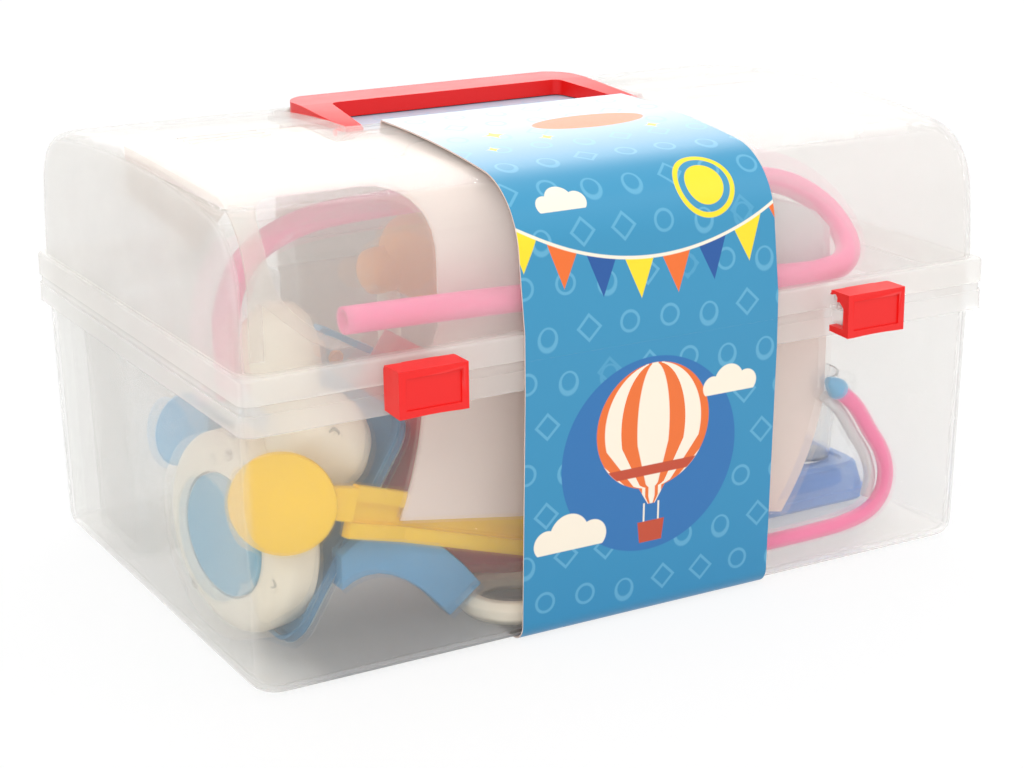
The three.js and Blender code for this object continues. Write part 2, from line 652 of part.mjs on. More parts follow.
// Card liner: one sheet with a tall front, a bend, a flap under the lid and a folded end,
// cut to its outline and cut away before the handle's well
function makeLiner() {
  const left = leftEnd + liner.leftIn;
  const right = rightEnd - liner.rightIn;
  const waist = rightEnd - liner.waistIn;
  const cornerRight = rightEnd - liner.cornerRightIn;
  const cornerLeft = leftEnd + liner.cornerLeftIn;
  const edge = leftEnd + liner.edgeIn;
  const cutLeft = leftEnd + liner.cutIn;
  const webRight = leftEnd + liner.webIn;
  const steps = 6;
  const bendAngle = Math.PI / 2.4;
  const bendTop = lidTop - liner.bendDrop;
  const backTop = lidTop - liner.backDrop;
  const bendZ = bendTop - liner.bend * Math.sin(Math.PI - bendAngle);
  const path = [[liner.y, floorSeat], [liner.y, bendZ]];
  for (let step = 1; step <= steps; step += 1) {
    const angle = Math.PI - step / steps * bendAngle;
    path.push([liner.y + liner.bend * (1 + Math.cos(angle)), bendZ + liner.bend * Math.sin(angle)]);
  }
  const bendEnd = path.at(-1);
  path.push([liner.backY, backTop]);
  const outer = bandPath(path, liner.thick / 2);
  const inner = bandPath(path, -liner.thick / 2).reverse();
  const sheet = sideExtrude(polyShape([...outer, ...inner]), left, right + overrun);
  const end = sideExtrude(polyShape([
    [liner.endFront, path.at(-3)[1]], [liner.endMiddle, liner.endLow], [liner.backY, liner.endBackLow],
    [liner.backY, backTop], bendEnd,
  ]), left, left + liner.thick);
  const slope = (liner.cornerLeftTop - liner.cornerRightTop) / (cornerRight - cornerLeft);
  const edgeAt = (x) => liner.cornerRightTop + (cornerRight - x) * slope;
  const cutTop = lidTop - liner.cutDrop;
  const outline = new THREE.Shape();
  outline.moveTo(left, lidTop);
  outline.lineTo(right, lidTop);
  outline.lineTo(right, bendZ);
  outline.quadraticCurveTo(right, (bendZ + liner.waistTop) / 2, waist, liner.waistTop);
  outline.quadraticCurveTo(waist, liner.cornerLeftTop, cornerRight, liner.cornerRightTop);
  outline.lineTo(liner.footRight, edgeAt(liner.footRight));
  outline.lineTo(liner.footRight, 0);
  outline.lineTo(liner.footLeft, 0);
  outline.lineTo(liner.footLeft, edgeAt(liner.footLeft));
  outline.lineTo(cornerLeft, liner.cornerLeftTop);
  outline.quadraticCurveTo(edge, (liner.cornerLeftTop + liner.edgeTop) / 2, edge, liner.edgeTop);
  outline.lineTo(edge, cutTop - liner.cutRadius);
  outline.quadraticCurveTo(edge, cutTop, edge - liner.cutRadius, cutTop);
  outline.lineTo(cutLeft + liner.cutSmall, cutTop);
  outline.quadraticCurveTo(cutLeft, cutTop, cutLeft, cutTop - liner.cutSmall);
  outline.lineTo(cutLeft, liner.webTop);
  outline.quadraticCurveTo(cutLeft, liner.webBend, webRight, liner.webBottom);
  outline.lineTo(left, liner.webBottom);
  const notch = box(-wellHalf - lidWall - liner.wellGap, right + overrun, wellFront - liner.wellGap,
    liner.backY + overrun, bendZ, lidTop);
  return cut(sheet.intersect(frontExtrude(outline, rimFront, liner.backY + overrun)).add(end), notch);
}

function tubeAlong(points, size) {
  const route = points.map((point) => new THREE.Vector3(...point));
  const curve = new THREE.CatmullRomCurve3(route, false, "centripetal");
  const circle = new THREE.Shape();
  circle.absarc(0, 0, size.radius, 0, Math.PI * 2);
  const geometry = new THREE.ExtrudeGeometry(circle, {
    steps: size.steps,
    curveSegments: size.sides / 2,
    bevelEnabled: false,
    extrudePath: curve,
  });
  return toSolid(geometry);
}

function makeBow() {
  const y = bowSize.y;
  return tubeAlong([
    [-bow.start, y, bow.low], [-(bow.start + bow.bendIn) / 2, y, bow.low], [-bow.bendIn, y, bow.low],
    [-(bow.bendIn + 2 * bow.right) / 3, y, bow.bendLow], [-bow.right, y, bow.middle],
    [-bow.shoulder, y, bow.shoulderTop], [-bow.end, y, bow.top],
  ], bowSize);
}

function turned(profile, segments = 32) {
  return toSolid(new THREE.LatheGeometry(profile.map(([r, h]) => new THREE.Vector2(r, h)), segments));
}

// Chest piece: turned bell with a dial recess, three screw recesses and a stub for the tube
function makeChest() {
  const body = turned([
    [0, -chest.back], [chest.hub, -chest.back], [chest.cone, -chest.coneBack], [chest.radius, -chest.rear],
    [chest.radius, chest.edge], [(chest.radius + chest.screwRing) / 2, chest.lip],
    [chest.screwRing, chest.face],
    [chest.dial + 2 * gap, chest.face], [chest.dial + gap, chest.face - chest.dialDepth],
    [0, chest.face - chest.dialDepth],
  ], 40);
  const screws = [0, 1, 2].map((index) => {
    const angle = (index / 3 + 1 / 12) * Math.PI * 2;
    const hole = new THREE.CylinderGeometry(chest.screw, chest.screw, 2 * chest.screwDepth, 12);
    hole.translate(chest.screwRing * Math.cos(angle), chest.face, chest.screwRing * Math.sin(angle));
    return toSolid(hole);
  });
  const stem = new THREE.CylinderGeometry(chest.stem, chest.stem, 2 * chest.stemRise, 16);
  stem.rotateX(Math.PI / 2);
  stem.translate(0, 0, chest.radius);
  return cut(joined(body, toSolid(stem)), ...screws);
}

function makeSpatula() {
  const front = spatula.y - spatula.thick / 2;
  const back = front + spatula.thick;
  const outline = new THREE.Shape();
  const neckAngle = Math.asin(spatula.neck / spatula.head);
  outline.absarc(0, 0, spatula.head, neckAngle, Math.PI * 2 - neckAngle);
  outline.lineTo(spatula.neckEnd, -spatula.neck);
  outline.lineTo(spatula.flare, -spatula.grip);
  outline.lineTo(spatula.length, -spatula.gripEnd);
  outline.lineTo(spatula.length, spatula.gripEnd);
  outline.lineTo(spatula.flare, spatula.grip);
  outline.lineTo(spatula.neckEnd, spatula.neck);
  const channel = polyShape([
    [spatula.flare + spatula.rim, -spatula.grip + spatula.rim],
    [spatula.length - spatula.rim, -spatula.gripEnd + spatula.rim],
    [spatula.length - spatula.rim, spatula.gripEnd - spatula.rim],
    [spatula.flare + spatula.rim, spatula.grip - spatula.rim],
  ]);
  const solid = frontExtrude(outline, front - spatula.y, back - spatula.y, 12);
  return cut(solid, frontExtrude(channel, front - spatula.y - overrun, back - spatula.y - spatula.floor));
}

function makeTray() {
  const depth = tray.back - tray.front;
  const rounded = roundedShape(0, tray.length, 0, depth, Array(4).fill(tray.corner));
  const outer = planExtrude(rounded, -tray.height, 0, 5);
  const inner = planExtrude(roundedShape(tray.wall, tray.length - tray.wall, tray.wall, depth - tray.wall,
    Array(4).fill(tray.corner - tray.wall)), -tray.height + tray.wall, overrun, 5);
  return cut(outer, inner);
}

// Open vessel with leaning walls, standing on its base at the origin
function makeVessel(size, baseLength, baseDepth, topLength, topDepth) {
  const corner = size.corner;
  const outer = [ring(baseLength, baseDepth, corner, 0), ring(topLength, topDepth, corner, size.height)];
  const inner = [
    ring(topLength - 2 * size.wall, topDepth - 2 * size.wall, corner - size.wall, size.height),
    ring(baseLength - 2 * size.wall, baseDepth - 2 * size.wall, corner - size.wall, size.wall),
  ];
  return loft([...outer, ...inner]);
}

function makeArm() {
  const outline = new THREE.Shape();
  const half = arm.width / 2;
  outline.moveTo(arm.left, arm.leftTop - half);
  outline.quadraticCurveTo(arm.crest, arm.crestTop - half, arm.right - half, arm.rightTop - half);
  outline.lineTo(arm.right + half, arm.rightTop + half / 2);
  outline.quadraticCurveTo(arm.crest + half, arm.crestTop + 2 * half, arm.left, arm.leftTop + half);
  return frontExtrude(outline, arm.front, tray.front - gap, 8);
}

function makeGrip() {
  const half = grip.height / 2;
  const slope = grip.round;
  const profile = [
    [grip.inner, -half + slope], [grip.inner + slope, -half], [grip.outer - slope, -half],
    [grip.outer, -half + slope], [grip.outer, half - slope], [grip.outer - slope, half],
    [grip.inner + slope, half], [grip.inner, half - slope],
  ];
  const points = [...profile, profile[0]].map(([r, h]) => new THREE.Vector2(r, h));
  const geometry = new THREE.LatheGeometry(points, 28);
  geometry.rotateX(Math.PI / 2);
  return toSolid(geometry);
}

function makeOtoscope() {
  return turned([
    [0, 0], [otoscope.mouth, 0], [otoscope.body, otoscope.boreDepth], [otoscope.body, otoscope.length / 2],
    [otoscope.mouth, otoscope.length * 0.75], [otoscope.nose, otoscope.length],
    [otoscope.bore, otoscope.length], [otoscope.bore, otoscope.length - otoscope.boreDepth],
    [0, otoscope.length - otoscope.boreDepth],
  ], 28);
}

function makeProbe() {
  const half = probe.width / 2;
  const rounding = half * 0.8;
  const outline = roundedShape(probe.x - half, probe.x + half, floorSeat, probe.height,
    [gap, gap, rounding, rounding]);
  const seat = new THREE.CylinderGeometry(probe.button + gap, probe.button + gap, probe.buttonRise * 2, 18);
  seat.translate(probe.x, probe.front, probe.dot);
  return cut(frontExtrude(outline, probe.front, probe.back), toSolid(seat));
}

function makeHammerHead() {
  const ball = new THREE.SphereGeometry(hammer.ball, 24, 14);
  ball.translate(0, 0, hammer.z);
  const lobes = [-1, 1].map((side) => {
    const lobe = new THREE.SphereGeometry(hammer.lobe, 18, 10);
    lobe.translate(side * hammer.reach, 0, hammer.z);
    return toSolid(lobe);
  });
  const socket = post(hammer.rod + gap, 0, 0, hammer.rodTop - overrun * 2, hammer.rodTop + gap, 20);
  return cut(joined(toSolid(ball), ...lobes), socket);
}

function makeSyringe() {
  return turned([
    [0, 0], [syringe.flange, 0], [syringe.flange, syringe.flangeThick], [syringe.barrel, syringe.flangeThick],
    [syringe.barrel, syringe.barrelTop - floorSeat], [syringe.cone, syringe.coneTop - floorSeat],
    [syringe.nozzle, syringe.top - floorSeat], [0, syringe.top - floorSeat],
  ], 28);
}

function makeCup() {
  return turned([
    [0, 0], [cup.base, 0], [cup.mouth, cup.height], [cup.mouth - cup.wall, cup.height],
    [cup.base - cup.wall, cup.wall], [0, cup.wall],
  ], 28);
}

function makePaddle() {
  const outline = new THREE.Shape();
  outline.moveTo(-paddle.handle, floorSeat);
  outline.lineTo(paddle.handle, floorSeat);
  outline.lineTo(paddle.handle, paddle.headBottom);
  outline.lineTo(paddle.head, paddle.headBottom + paddle.head);
  outline.lineTo(paddle.head, paddle.headTop - paddle.head);
  outline.absarc(0, paddle.headTop - paddle.head, paddle.head, 0, Math.PI);
  outline.lineTo(-paddle.head, paddle.headBottom + paddle.head);
  outline.lineTo(-paddle.handle, paddle.headBottom);
  return frontExtrude(outline, paddle.front, paddle.back, 8);
}

addPiece("tub", makeTub(), frosted);
addPiece("lid", makeLid(), frosted);
addPiece("handle", makeHandle(), red, new THREE.Vector3(0, handlePivotY, handlePivotZ));
latchCentres.forEach((centre, index) => {
  const name = index === 0 ? "latch_left" : "latch_right";
  addPiece(name, makeLatch(), red, new THREE.Vector3(centre, rimFront - beadOut, beadHeight));
});
addPiece("card_band_upper", makeUpperBand(), cardBlue);
addPiece("card_band_lower", makeLowerBand(), cardBlue);
addPiece("card_liner", makeLiner(), { ...cream, color: 0xf2ece6 });

// Stethoscope
const chestZ = floorSeat + chest.radius;
const chestTurn = new THREE.Euler(0, 0, Math.PI / 2 + THREE.MathUtils.degToRad(chest.turn));
const chestPlace = new THREE.Vector3(leftEnd + chest.fromLeft, chest.y, chestZ);
const chestAxis = new THREE.Vector3(0, 1, 0).applyEuler(chestTurn);
const dialDepth = chest.dialDepth - 2 * gap;
const dial = new THREE.CylinderGeometry(chest.dial, chest.dial, dialDepth, 40);
const dialPlace = chestPlace.clone().addScaledVector(chestAxis, chest.face - dialDepth / 2 - gap);
addPiece("chest_piece", makeChest(), cream, chestPlace, chestTurn);
addPiece("chest_dial", toSolid(dial), dialBlue, dialPlace, chestTurn);
addPiece("stethoscope_tube", tubeAlong(tubeRoute, tubeSize), pink);
addPiece("headset_bow", makeBow(), pink, new THREE.Vector3(rightEnd, 0, 0));

// Instruments and dishes, each resting on the floor of the tub or on the piece below it
const spatulaTurn = new THREE.Euler(0, THREE.MathUtils.degToRad(spatula.tilt), 0);
const spatulaX = leftEnd + spatula.fromLeft;
const spatulaRise = spatula.length * Math.sin(spatulaTurn.y) + spatula.gripEnd * Math.cos(spatulaTurn.y);
const spatulaZ = floorSeat + grip.height + spatula.overGrip + spatulaRise;
const spatulaPlace = new THREE.Vector3(spatulaX, spatula.y, spatulaZ);
addPiece("yellow_spatula", makeSpatula(), yellow, spatulaPlace, spatulaTurn);
const spatulaTip = spatulaX + spatula.length * Math.cos(spatulaTurn.y);
const trayTilt = THREE.MathUtils.degToRad(tray.tilt);
const trayZ = floorSeat + tray.height * Math.cos(trayTilt);
const trayX = leftEnd + tray.fromLeft;
const trayPlace = new THREE.Vector3(trayX, tray.front, trayZ);
addPiece("blue_tray", makeTray(), dialBlue, trayPlace, new THREE.Euler(0, -trayTilt, 0));
const dishLeft = leftEnd + dish.fromLeft;
const dishLength = rightEnd - dish.fromRight - dishLeft;
const dishPlace = new THREE.Vector3(dishLeft + dishLength / 2, dish.y, floorSeat);
const dishSolid = makeVessel(dish, dishLength - dish.flareLength, dish.topDepth - dish.flareDepth,
  dishLength, dish.topDepth);
addPiece("red_dish", dishSolid, dishRed, dishPlace);
addPiece("forceps_arm", makeArm(), toolBlue, new THREE.Vector3(leftEnd, 0, 0));
const gripPlace = new THREE.Vector3(spatulaTip - grip.fromTip, grip.y, floorSeat + grip.height / 2);
addPiece("forceps_grip", makeGrip(), cream, gripPlace);
const restOff = otoscope.body + gap + tray.wall - tray.height;
const otoscopePlace = new THREE.Vector3(
  trayX + otoscope.along * Math.cos(trayTilt) - restOff * Math.sin(trayTilt),
  otoscope.front + otoscope.length,
  trayZ + otoscope.along * Math.sin(trayTilt) + restOff * Math.cos(trayTilt),
);
addPiece("otoscope_head", makeOtoscope(), cream, otoscopePlace, new THREE.Euler(0, 0, Math.PI));
addPiece("blue_probe", makeProbe(), paleBlue);
const button = new THREE.CylinderGeometry(probe.button, probe.button, probe.buttonRise, 18);
const buttonPlace = new THREE.Vector3(probe.x, probe.front + probe.buttonRise / 2 - gap, probe.dot);
addPiece("probe_button", toSolid(button), orange, buttonPlace);
const hammerPlace = new THREE.Vector3(hammer.x, hammer.y, 0);
addPiece("hammer_head", makeHammerHead(), orange, hammerPlace);
addPiece("hammer_handle", post(hammer.rod, 0, 0, floorSeat, hammer.rodTop, 20), cream, hammerPlace);
const upright = new THREE.Euler(Math.PI / 2, 0, 0);
const syringePlace = new THREE.Vector3(leftEnd + syringe.fromLeft, syringe.y, floorSeat);
addPiece("blue_syringe", makeSyringe(), paleBlue, syringePlace, upright);
const casePlace = new THREE.Vector3(leftEnd + caseBox.fromLeft, caseBox.y, floorSeat);
addPiece("cream_case", makeVessel(caseBox, caseBox.length - caseBox.taper, caseBox.depth - caseBox.taper,
  caseBox.length, caseBox.depth), cream, casePlace);
const boxPlace = new THREE.Vector3(rightEnd - blueBox.fromRight, blueBox.y, floorSeat);
addPiece("blue_box", makeVessel(blueBox, blueBox.length, blueBox.depth, blueBox.length - blueBox.taper,
  blueBox.depth - blueBox.taper), deepBlue, boxPlace);
const cupPlace = new THREE.Vector3(rightEnd - cup.fromRight, cup.y, floorSeat + blueBox.wall + gap);
addPiece("clear_cup", makeCup(), frosted, cupPlace, upright);
const paddlePlace = new THREE.Vector3(rightEnd - paddle.fromRight, 0, 0);
addPiece("grey_paddle", makePaddle(), { ...cream, color: 0xd9dada }, paddlePlace);

// The frame's origin is under the middle of the whole box
group.updateMatrixWorld(true);
const bounds = new THREE.Box3().setFromObject(group, true);
const middle = (bounds.min.y + bounds.max.y) / 2;
group.children.forEach((mesh) => mesh.position.setY(mesh.position.y - middle));
console.log("shift in y", -middle, "size", bounds.getSize(new THREE.Vector3()));

export default group;
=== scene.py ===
"""Toy doctor case, dressed for the camera: frosted case, red fittings, printed card, toys inside."""

import logging
import math
from dataclasses import dataclass
from enum import Enum
from functools import cached_property
from typing import Callable, Sequence

import bmesh
import bpy
from mathutils import Matrix, Vector


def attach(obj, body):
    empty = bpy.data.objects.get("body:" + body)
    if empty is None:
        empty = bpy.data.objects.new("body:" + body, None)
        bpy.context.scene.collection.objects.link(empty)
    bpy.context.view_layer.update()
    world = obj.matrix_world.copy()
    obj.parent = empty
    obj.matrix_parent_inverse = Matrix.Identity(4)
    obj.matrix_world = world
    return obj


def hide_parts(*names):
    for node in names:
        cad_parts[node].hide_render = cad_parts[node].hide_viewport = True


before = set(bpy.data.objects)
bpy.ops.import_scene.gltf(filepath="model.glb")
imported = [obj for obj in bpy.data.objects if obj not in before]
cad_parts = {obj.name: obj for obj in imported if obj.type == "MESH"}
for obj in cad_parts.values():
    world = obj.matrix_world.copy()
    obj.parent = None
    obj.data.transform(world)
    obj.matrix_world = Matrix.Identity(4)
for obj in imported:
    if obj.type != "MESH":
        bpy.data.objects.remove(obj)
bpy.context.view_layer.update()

LOG = logging.getLogger("doctor_case")
MM = 0.001
# The shared frame's origin lies this many millimetres in front of the CAD model's own.
SHIFT = 1.95

Colour = tuple[float, float, float]
Point = tuple[float, float, float] | Vector
Pair = tuple[float, float]
Spot = tuple[float, float, float]
Outline = Sequence[Pair]


def srgb(*channels: int) -> Colour:
    """Turn a display colour into the linear colour that shaders take.

    Args:
        *channels: Red, green and blue from 0 to 255.

    Returns:
        The linear colour.
    """
    def linear(value: float) -> float:
        """One linear channel."""
        return value / 12.92 if value <= 0.04045 else ((value + 0.055) / 1.055) ** 2.4

    return tuple(linear(channel / 255) for channel in channels)


def darker(colour: Colour, share: float) -> Colour:
    """A colour times a share."""
    return tuple(channel * share for channel in colour)


class Graph:
    """The node tree of one material or of the world."""

    def __init__(self, tree: bpy.types.NodeTree) -> None:
        """Empty the tree and keep it."""
        self.tree = tree
        self.tree.nodes.clear()

    def add(self, kind: str, settings: dict[str, object] | None = None, **inputs: object) -> bpy.types.Node:
        """Add a node, set it up and fill its sockets.

        Args:
            kind: The node's type name.
            settings: Attributes of the node, set before its sockets.
            **inputs: Values by a socket's name, with underscores for spaces, or by i and its number.

        Returns:
            The new node.
        """
        node = self.tree.nodes.new(kind)
        for name, value in (settings or {}).items():
            setattr(node, name, value)
        for name, value in inputs.items():
            socket = node.inputs[int(name[1:]) if name[1:].isdigit() else name.replace("_", " ")]
            if isinstance(value, Value):
                self.tree.links.new(value.socket, socket)
            elif isinstance(value, tuple) and socket.type == "RGBA":
                socket.default_value = (*value, 1.0)
            else:
                socket.default_value = value
        return node

    def put(self, kind: str, settings: dict[str, object] | None = None, output: str | int = 0,
            **inputs: object) -> "Value":
        """Add a node and wrap one of its outputs."""
        return Value(self, self.add(kind, settings, **inputs).outputs[output])

    def mix(self, share: object, first: object, second: object) -> "Value":
        """Mix two colours: the share is how much of the second shows."""
        return self.put("ShaderNodeMix", {"data_type": "RGBA"}, 2, i0=share, i6=first, i7=second)

    def blend(self, share: object, first: object, second: object) -> "Value":
        """Mix two shaders: the share is how much of the second shows."""
        return self.put("ShaderNodeMixShader", i0=share, i1=first, i2=second)

    def principled(self, **inputs: object) -> "Value":
        """A Principled shader."""
        return self.put("ShaderNodeBsdfPrincipled", **inputs)

    def noise(self, place: object, scale: float, detail: float = 3.0) -> "Value":
        """Noise from 0 to 1 at a place."""
        return self.put("ShaderNodeTexNoise", Vector=place, Scale=scale, Detail=detail)

    def bump(self, height: object, strength: float, distance: float) -> "Value":
        """A bumped normal from a height."""
        return self.put("ShaderNodeBump", Height=height, Strength=strength, Distance=distance)

    def object_place(self) -> "Value":
        """Coordinates fixed to the object, in metres."""
        return self.put("ShaderNodeTexCoord", output="Object")


def math_method(operation: str, reflected: bool = False) -> Callable[..., "Value"]:
    """Make a method that adds a Math node.

    Args:
        operation: The node's operation.
        reflected: Whether the value is the last term.

    Returns:
        The method.
    """
    def method(value: "Value", *others: object) -> "Value":
        """Put the value and the other terms through a Math node."""
        terms = (*others, value) if reflected else (value, *others)
        inputs = {f"i{index}": term for index, term in enumerate(terms)}
        return value.graph.put("ShaderNodeMath", {"operation": operation}, **inputs)

    return method


@dataclass(frozen=True)
class Value:
    """An output socket that takes part in Python sums."""

    graph: Graph
    socket: bpy.types.NodeSocket

    __add__ = math_method("ADD")
    __radd__ = math_method("ADD", True)
    __sub__ = math_method("SUBTRACT")
    __rsub__ = math_method("SUBTRACT", True)
    __mul__ = math_method("MULTIPLY")
    __rmul__ = math_method("MULTIPLY", True)
    __truediv__ = math_method("DIVIDE")
    __mod__ = math_method("FLOORED_MODULO")
    __abs__ = math_method("ABSOLUTE")
    least = math_method("MINIMUM")
    most = math_method("MAXIMUM")
    root = math_method("SQRT")

    def __neg__(self) -> "Value":
        """Opposite."""
        return self * -1.0

    def output(self, name: str) -> "Value":
        """Another output of the same node."""
        return Value(self.graph, self.socket.node.outputs[name])

    def parts(self) -> tuple["Value", ...]:
        """The three parts of this vector."""
        node = self.graph.add("ShaderNodeSeparateXYZ", i0=self)
        return tuple(Value(self.graph, part) for part in node.outputs)

    def clamped(self) -> "Value":
        """Kept between 0 and 1."""
        return self.graph.put("ShaderNodeMath", {"operation": "ADD", "use_clamp": True}, i0=self, i1=0.0)

    def rise(self, start: float, width: float) -> "Value":
        """0 at the start and 1 from a width further on; a width below zero goes the other way."""
        return ((self - start) / width).clamped()

    def inside(self, edge: float = 0.3) -> "Value":
        """A mask that is 1 where this distance is below zero, with a soft edge."""
        return (0.5 - self / edge).clamped()


def distance(across: Value, along: Value) -> Value:
    """Length of a flat vector."""
    return (across * across + along * along).root()


class Finish:
    """What every finish shares: a material of its own, made from its shader."""

    def build(self, name: str) -> bpy.types.Material:
        """Make the material.

        Args:
            name: The material's name.

        Returns:
            The material.
        """
        material = bpy.data.materials.new(name)
        material.use_nodes = True
        graph = Graph(material.node_tree)
        graph.add("ShaderNodeOutputMaterial", Surface=self.shader(graph))
        return material

    def shader(self, graph: Graph) -> Value:
        """The shader, built in the material's graph by each kind of finish."""
        raise NotImplementedError


@dataclass(frozen=True)
class MouldedPlastic(Finish):
    """Injection-moulded toy plastic: even colour, soft gloss, a trace of flow in colour and surface."""

    colour: Colour
    roughness: float = 0.38
    cloud_scale: float = 90.0
    grain_scale: float = 1260.0

    def shader(self, graph: Graph) -> Value:
        """A clouded colour and gloss under a fine grain."""
        place = graph.object_place()
        cloud = graph.noise(place, self.cloud_scale)
        grain = graph.noise(place, self.grain_scale, 2.0)
        return graph.principled(
            Base_Color=graph.mix(cloud, self.colour, darker(self.colour, 0.93)),
            Roughness=self.roughness - 0.05 + cloud * 0.1, Normal=graph.bump(grain, 0.08, 0.0002),
        )


@dataclass(frozen=True)
class FrostedPlastic(Finish):
    """Natural polypropylene: what lies behind it shows clearly under a thin haze.

    The wall looks milkier where two walls lie together, between the heights of thick_band, and at
    both ends, which are thicker. The front left of the floor, below shade_height, is in the shade of
    the contents. A fade is where a change starts, in millimetres, and the way that it takes.
    """

    milk: float = 0.09
    haze: float = 0.18
    thick_band: Pair = (80.0, 97.0)
    thick_milk: float = 0.24
    end_milk: float = 0.09
    end_haze: float = 0.12
    end_fade: Pair = (0.75, 0.15)
    floor_milk: float = 0.2
    shade_milk: float = 0.3
    shade_height: float = 3.4
    left_fade: Pair = (-126.0, 25.0)
    right_fade: Pair = (30.0, -40.0)
    back_fade: Pair = (10.0, -60.0)
    roughness: float = 0.12
    ior: float = 1.12
    glow: float = 0.35
    shade: Colour = srgb(166, 168, 171)
    white: Colour = (0.94, 0.925, 0.895)
    tint: Colour = (0.985, 0.985, 0.98)

    def shader(self, graph: Graph) -> Value:
        """Milk over a clear and a hazy wall.

        Args:
            graph: The material's graph.

        Returns:
            The shader.
        """
        place = graph.object_place()
        cloud = graph.noise(place, 24.0)
        grain = graph.noise(place, 900.0, 2.0)
        normal = graph.bump(grain, 0.05, 0.0002)
        x, y, z = (part * 1000.0 for part in place.parts())
        low, high = self.thick_band
        thick = (abs(z - (low + high) / 2) - (high - low) / 2).inside(1.0)
        floor = (z - self.shade_height).inside(0.8)
        shaded = floor * x.rise(*self.left_fade) * x.rise(*self.right_fade) * y.rise(*self.back_fade)
        sideways = graph.put("ShaderNodeNewGeometry", output="Normal").parts()[0]
        end = abs(sideways).rise(*self.end_fade)
        white = graph.mix(shaded, self.white, self.shade)
        hazy = graph.principled(
            Base_Color=(0.99, 0.99, 0.985), Roughness=self.roughness, IOR=self.ior, Transmission_Weight=1.0,
            Normal=normal,
        )
        skin = graph.principled(Base_Color=white, Roughness=0.3 + cloud * 0.08, IOR=1.45, Normal=normal)
        milky = graph.blend(self.glow, skin, graph.put("ShaderNodeBsdfTranslucent", Color=white))
        clear = graph.put("ShaderNodeBsdfTransparent", Color=self.tint)
        wall = graph.blend(self.haze + end * self.end_haze, clear, hazy)
        share = self.milk * (0.8 + cloud * 0.4) + thick * self.thick_milk + end * self.end_milk
        share = share + floor * self.floor_milk + shaded * self.shade_milk
        return graph.blend(share.clamped(), wall, milky)


@dataclass(frozen=True)
class ClearPlastic(Finish):
    """Clear polystyrene of a toy cup."""

    colour: Colour = (0.96, 0.98, 0.99)

    def shader(self, graph: Graph) -> Value:
        """Clear and glossy."""
        gloss = 0.04 + graph.noise(graph.object_place(), 120.0) * 0.05
        return graph.principled(Base_Color=self.colour, Roughness=gloss, IOR=1.45, Transmission_Weight=0.9)


@dataclass(frozen=True)
class WhiteCard(Finish):
    """Uncoated side of a folding carton."""

    colour: Colour

    def shader(self, graph: Graph) -> Value:
        """Dull and fibrous."""
        place = graph.object_place()
        fibre = graph.noise(place, 1400.0, 4.0)
        cloud = graph.noise(place, 30.0)
        return graph.principled(
            Base_Color=graph.mix(cloud * 0.5, self.colour, darker(self.colour, 0.92)),
            Roughness=0.62 + fibre * 0.1, Normal=graph.bump(fibre, 0.12, 0.0001),
        )


@dataclass
class Sheet:
    """A sheet in print: the place on it in millimetres, and the colour laid so far."""

    graph: Graph
    x: Value
    y: Value
    tint: Value

    def lay(self, mask: Value, colour: object) -> None:
        """Print a colour where a mask is 1."""
        self.tint = self.graph.mix(mask, self.tint, colour)

    def local(self, across: float, along: float) -> tuple[Value, Value]:
        """The place as seen from a point of the sheet."""
        return self.x - across, self.y - along

    def round(self, across: float, along: float, radius: float) -> Value:
        """A mask of a circle."""
        return (distance(*self.local(across, along)) - radius).inside()

    def star(self, across: float, along: float, size: float) -> Value:
        """A mask of a four-pointed star."""
        dx, dy = self.local(across, along)
        return (abs(dx).root() + abs(dy).root() - math.sqrt(size)).inside(0.15)

    def cloud(self, across: float, along: float, size: float) -> Value:
        """A mask of three circles on a flat base."""
        puffs = self.round(across, along + size * 0.15, size * 0.75)
        puffs = puffs.most(self.round(across - size * 0.85, along - size * 0.05, size * 0.5))
        puffs = puffs.most(self.round(across + size * 0.9, along - size * 0.02, size * 0.55))
        return puffs * (along - size * 0.4 - self.y).inside()


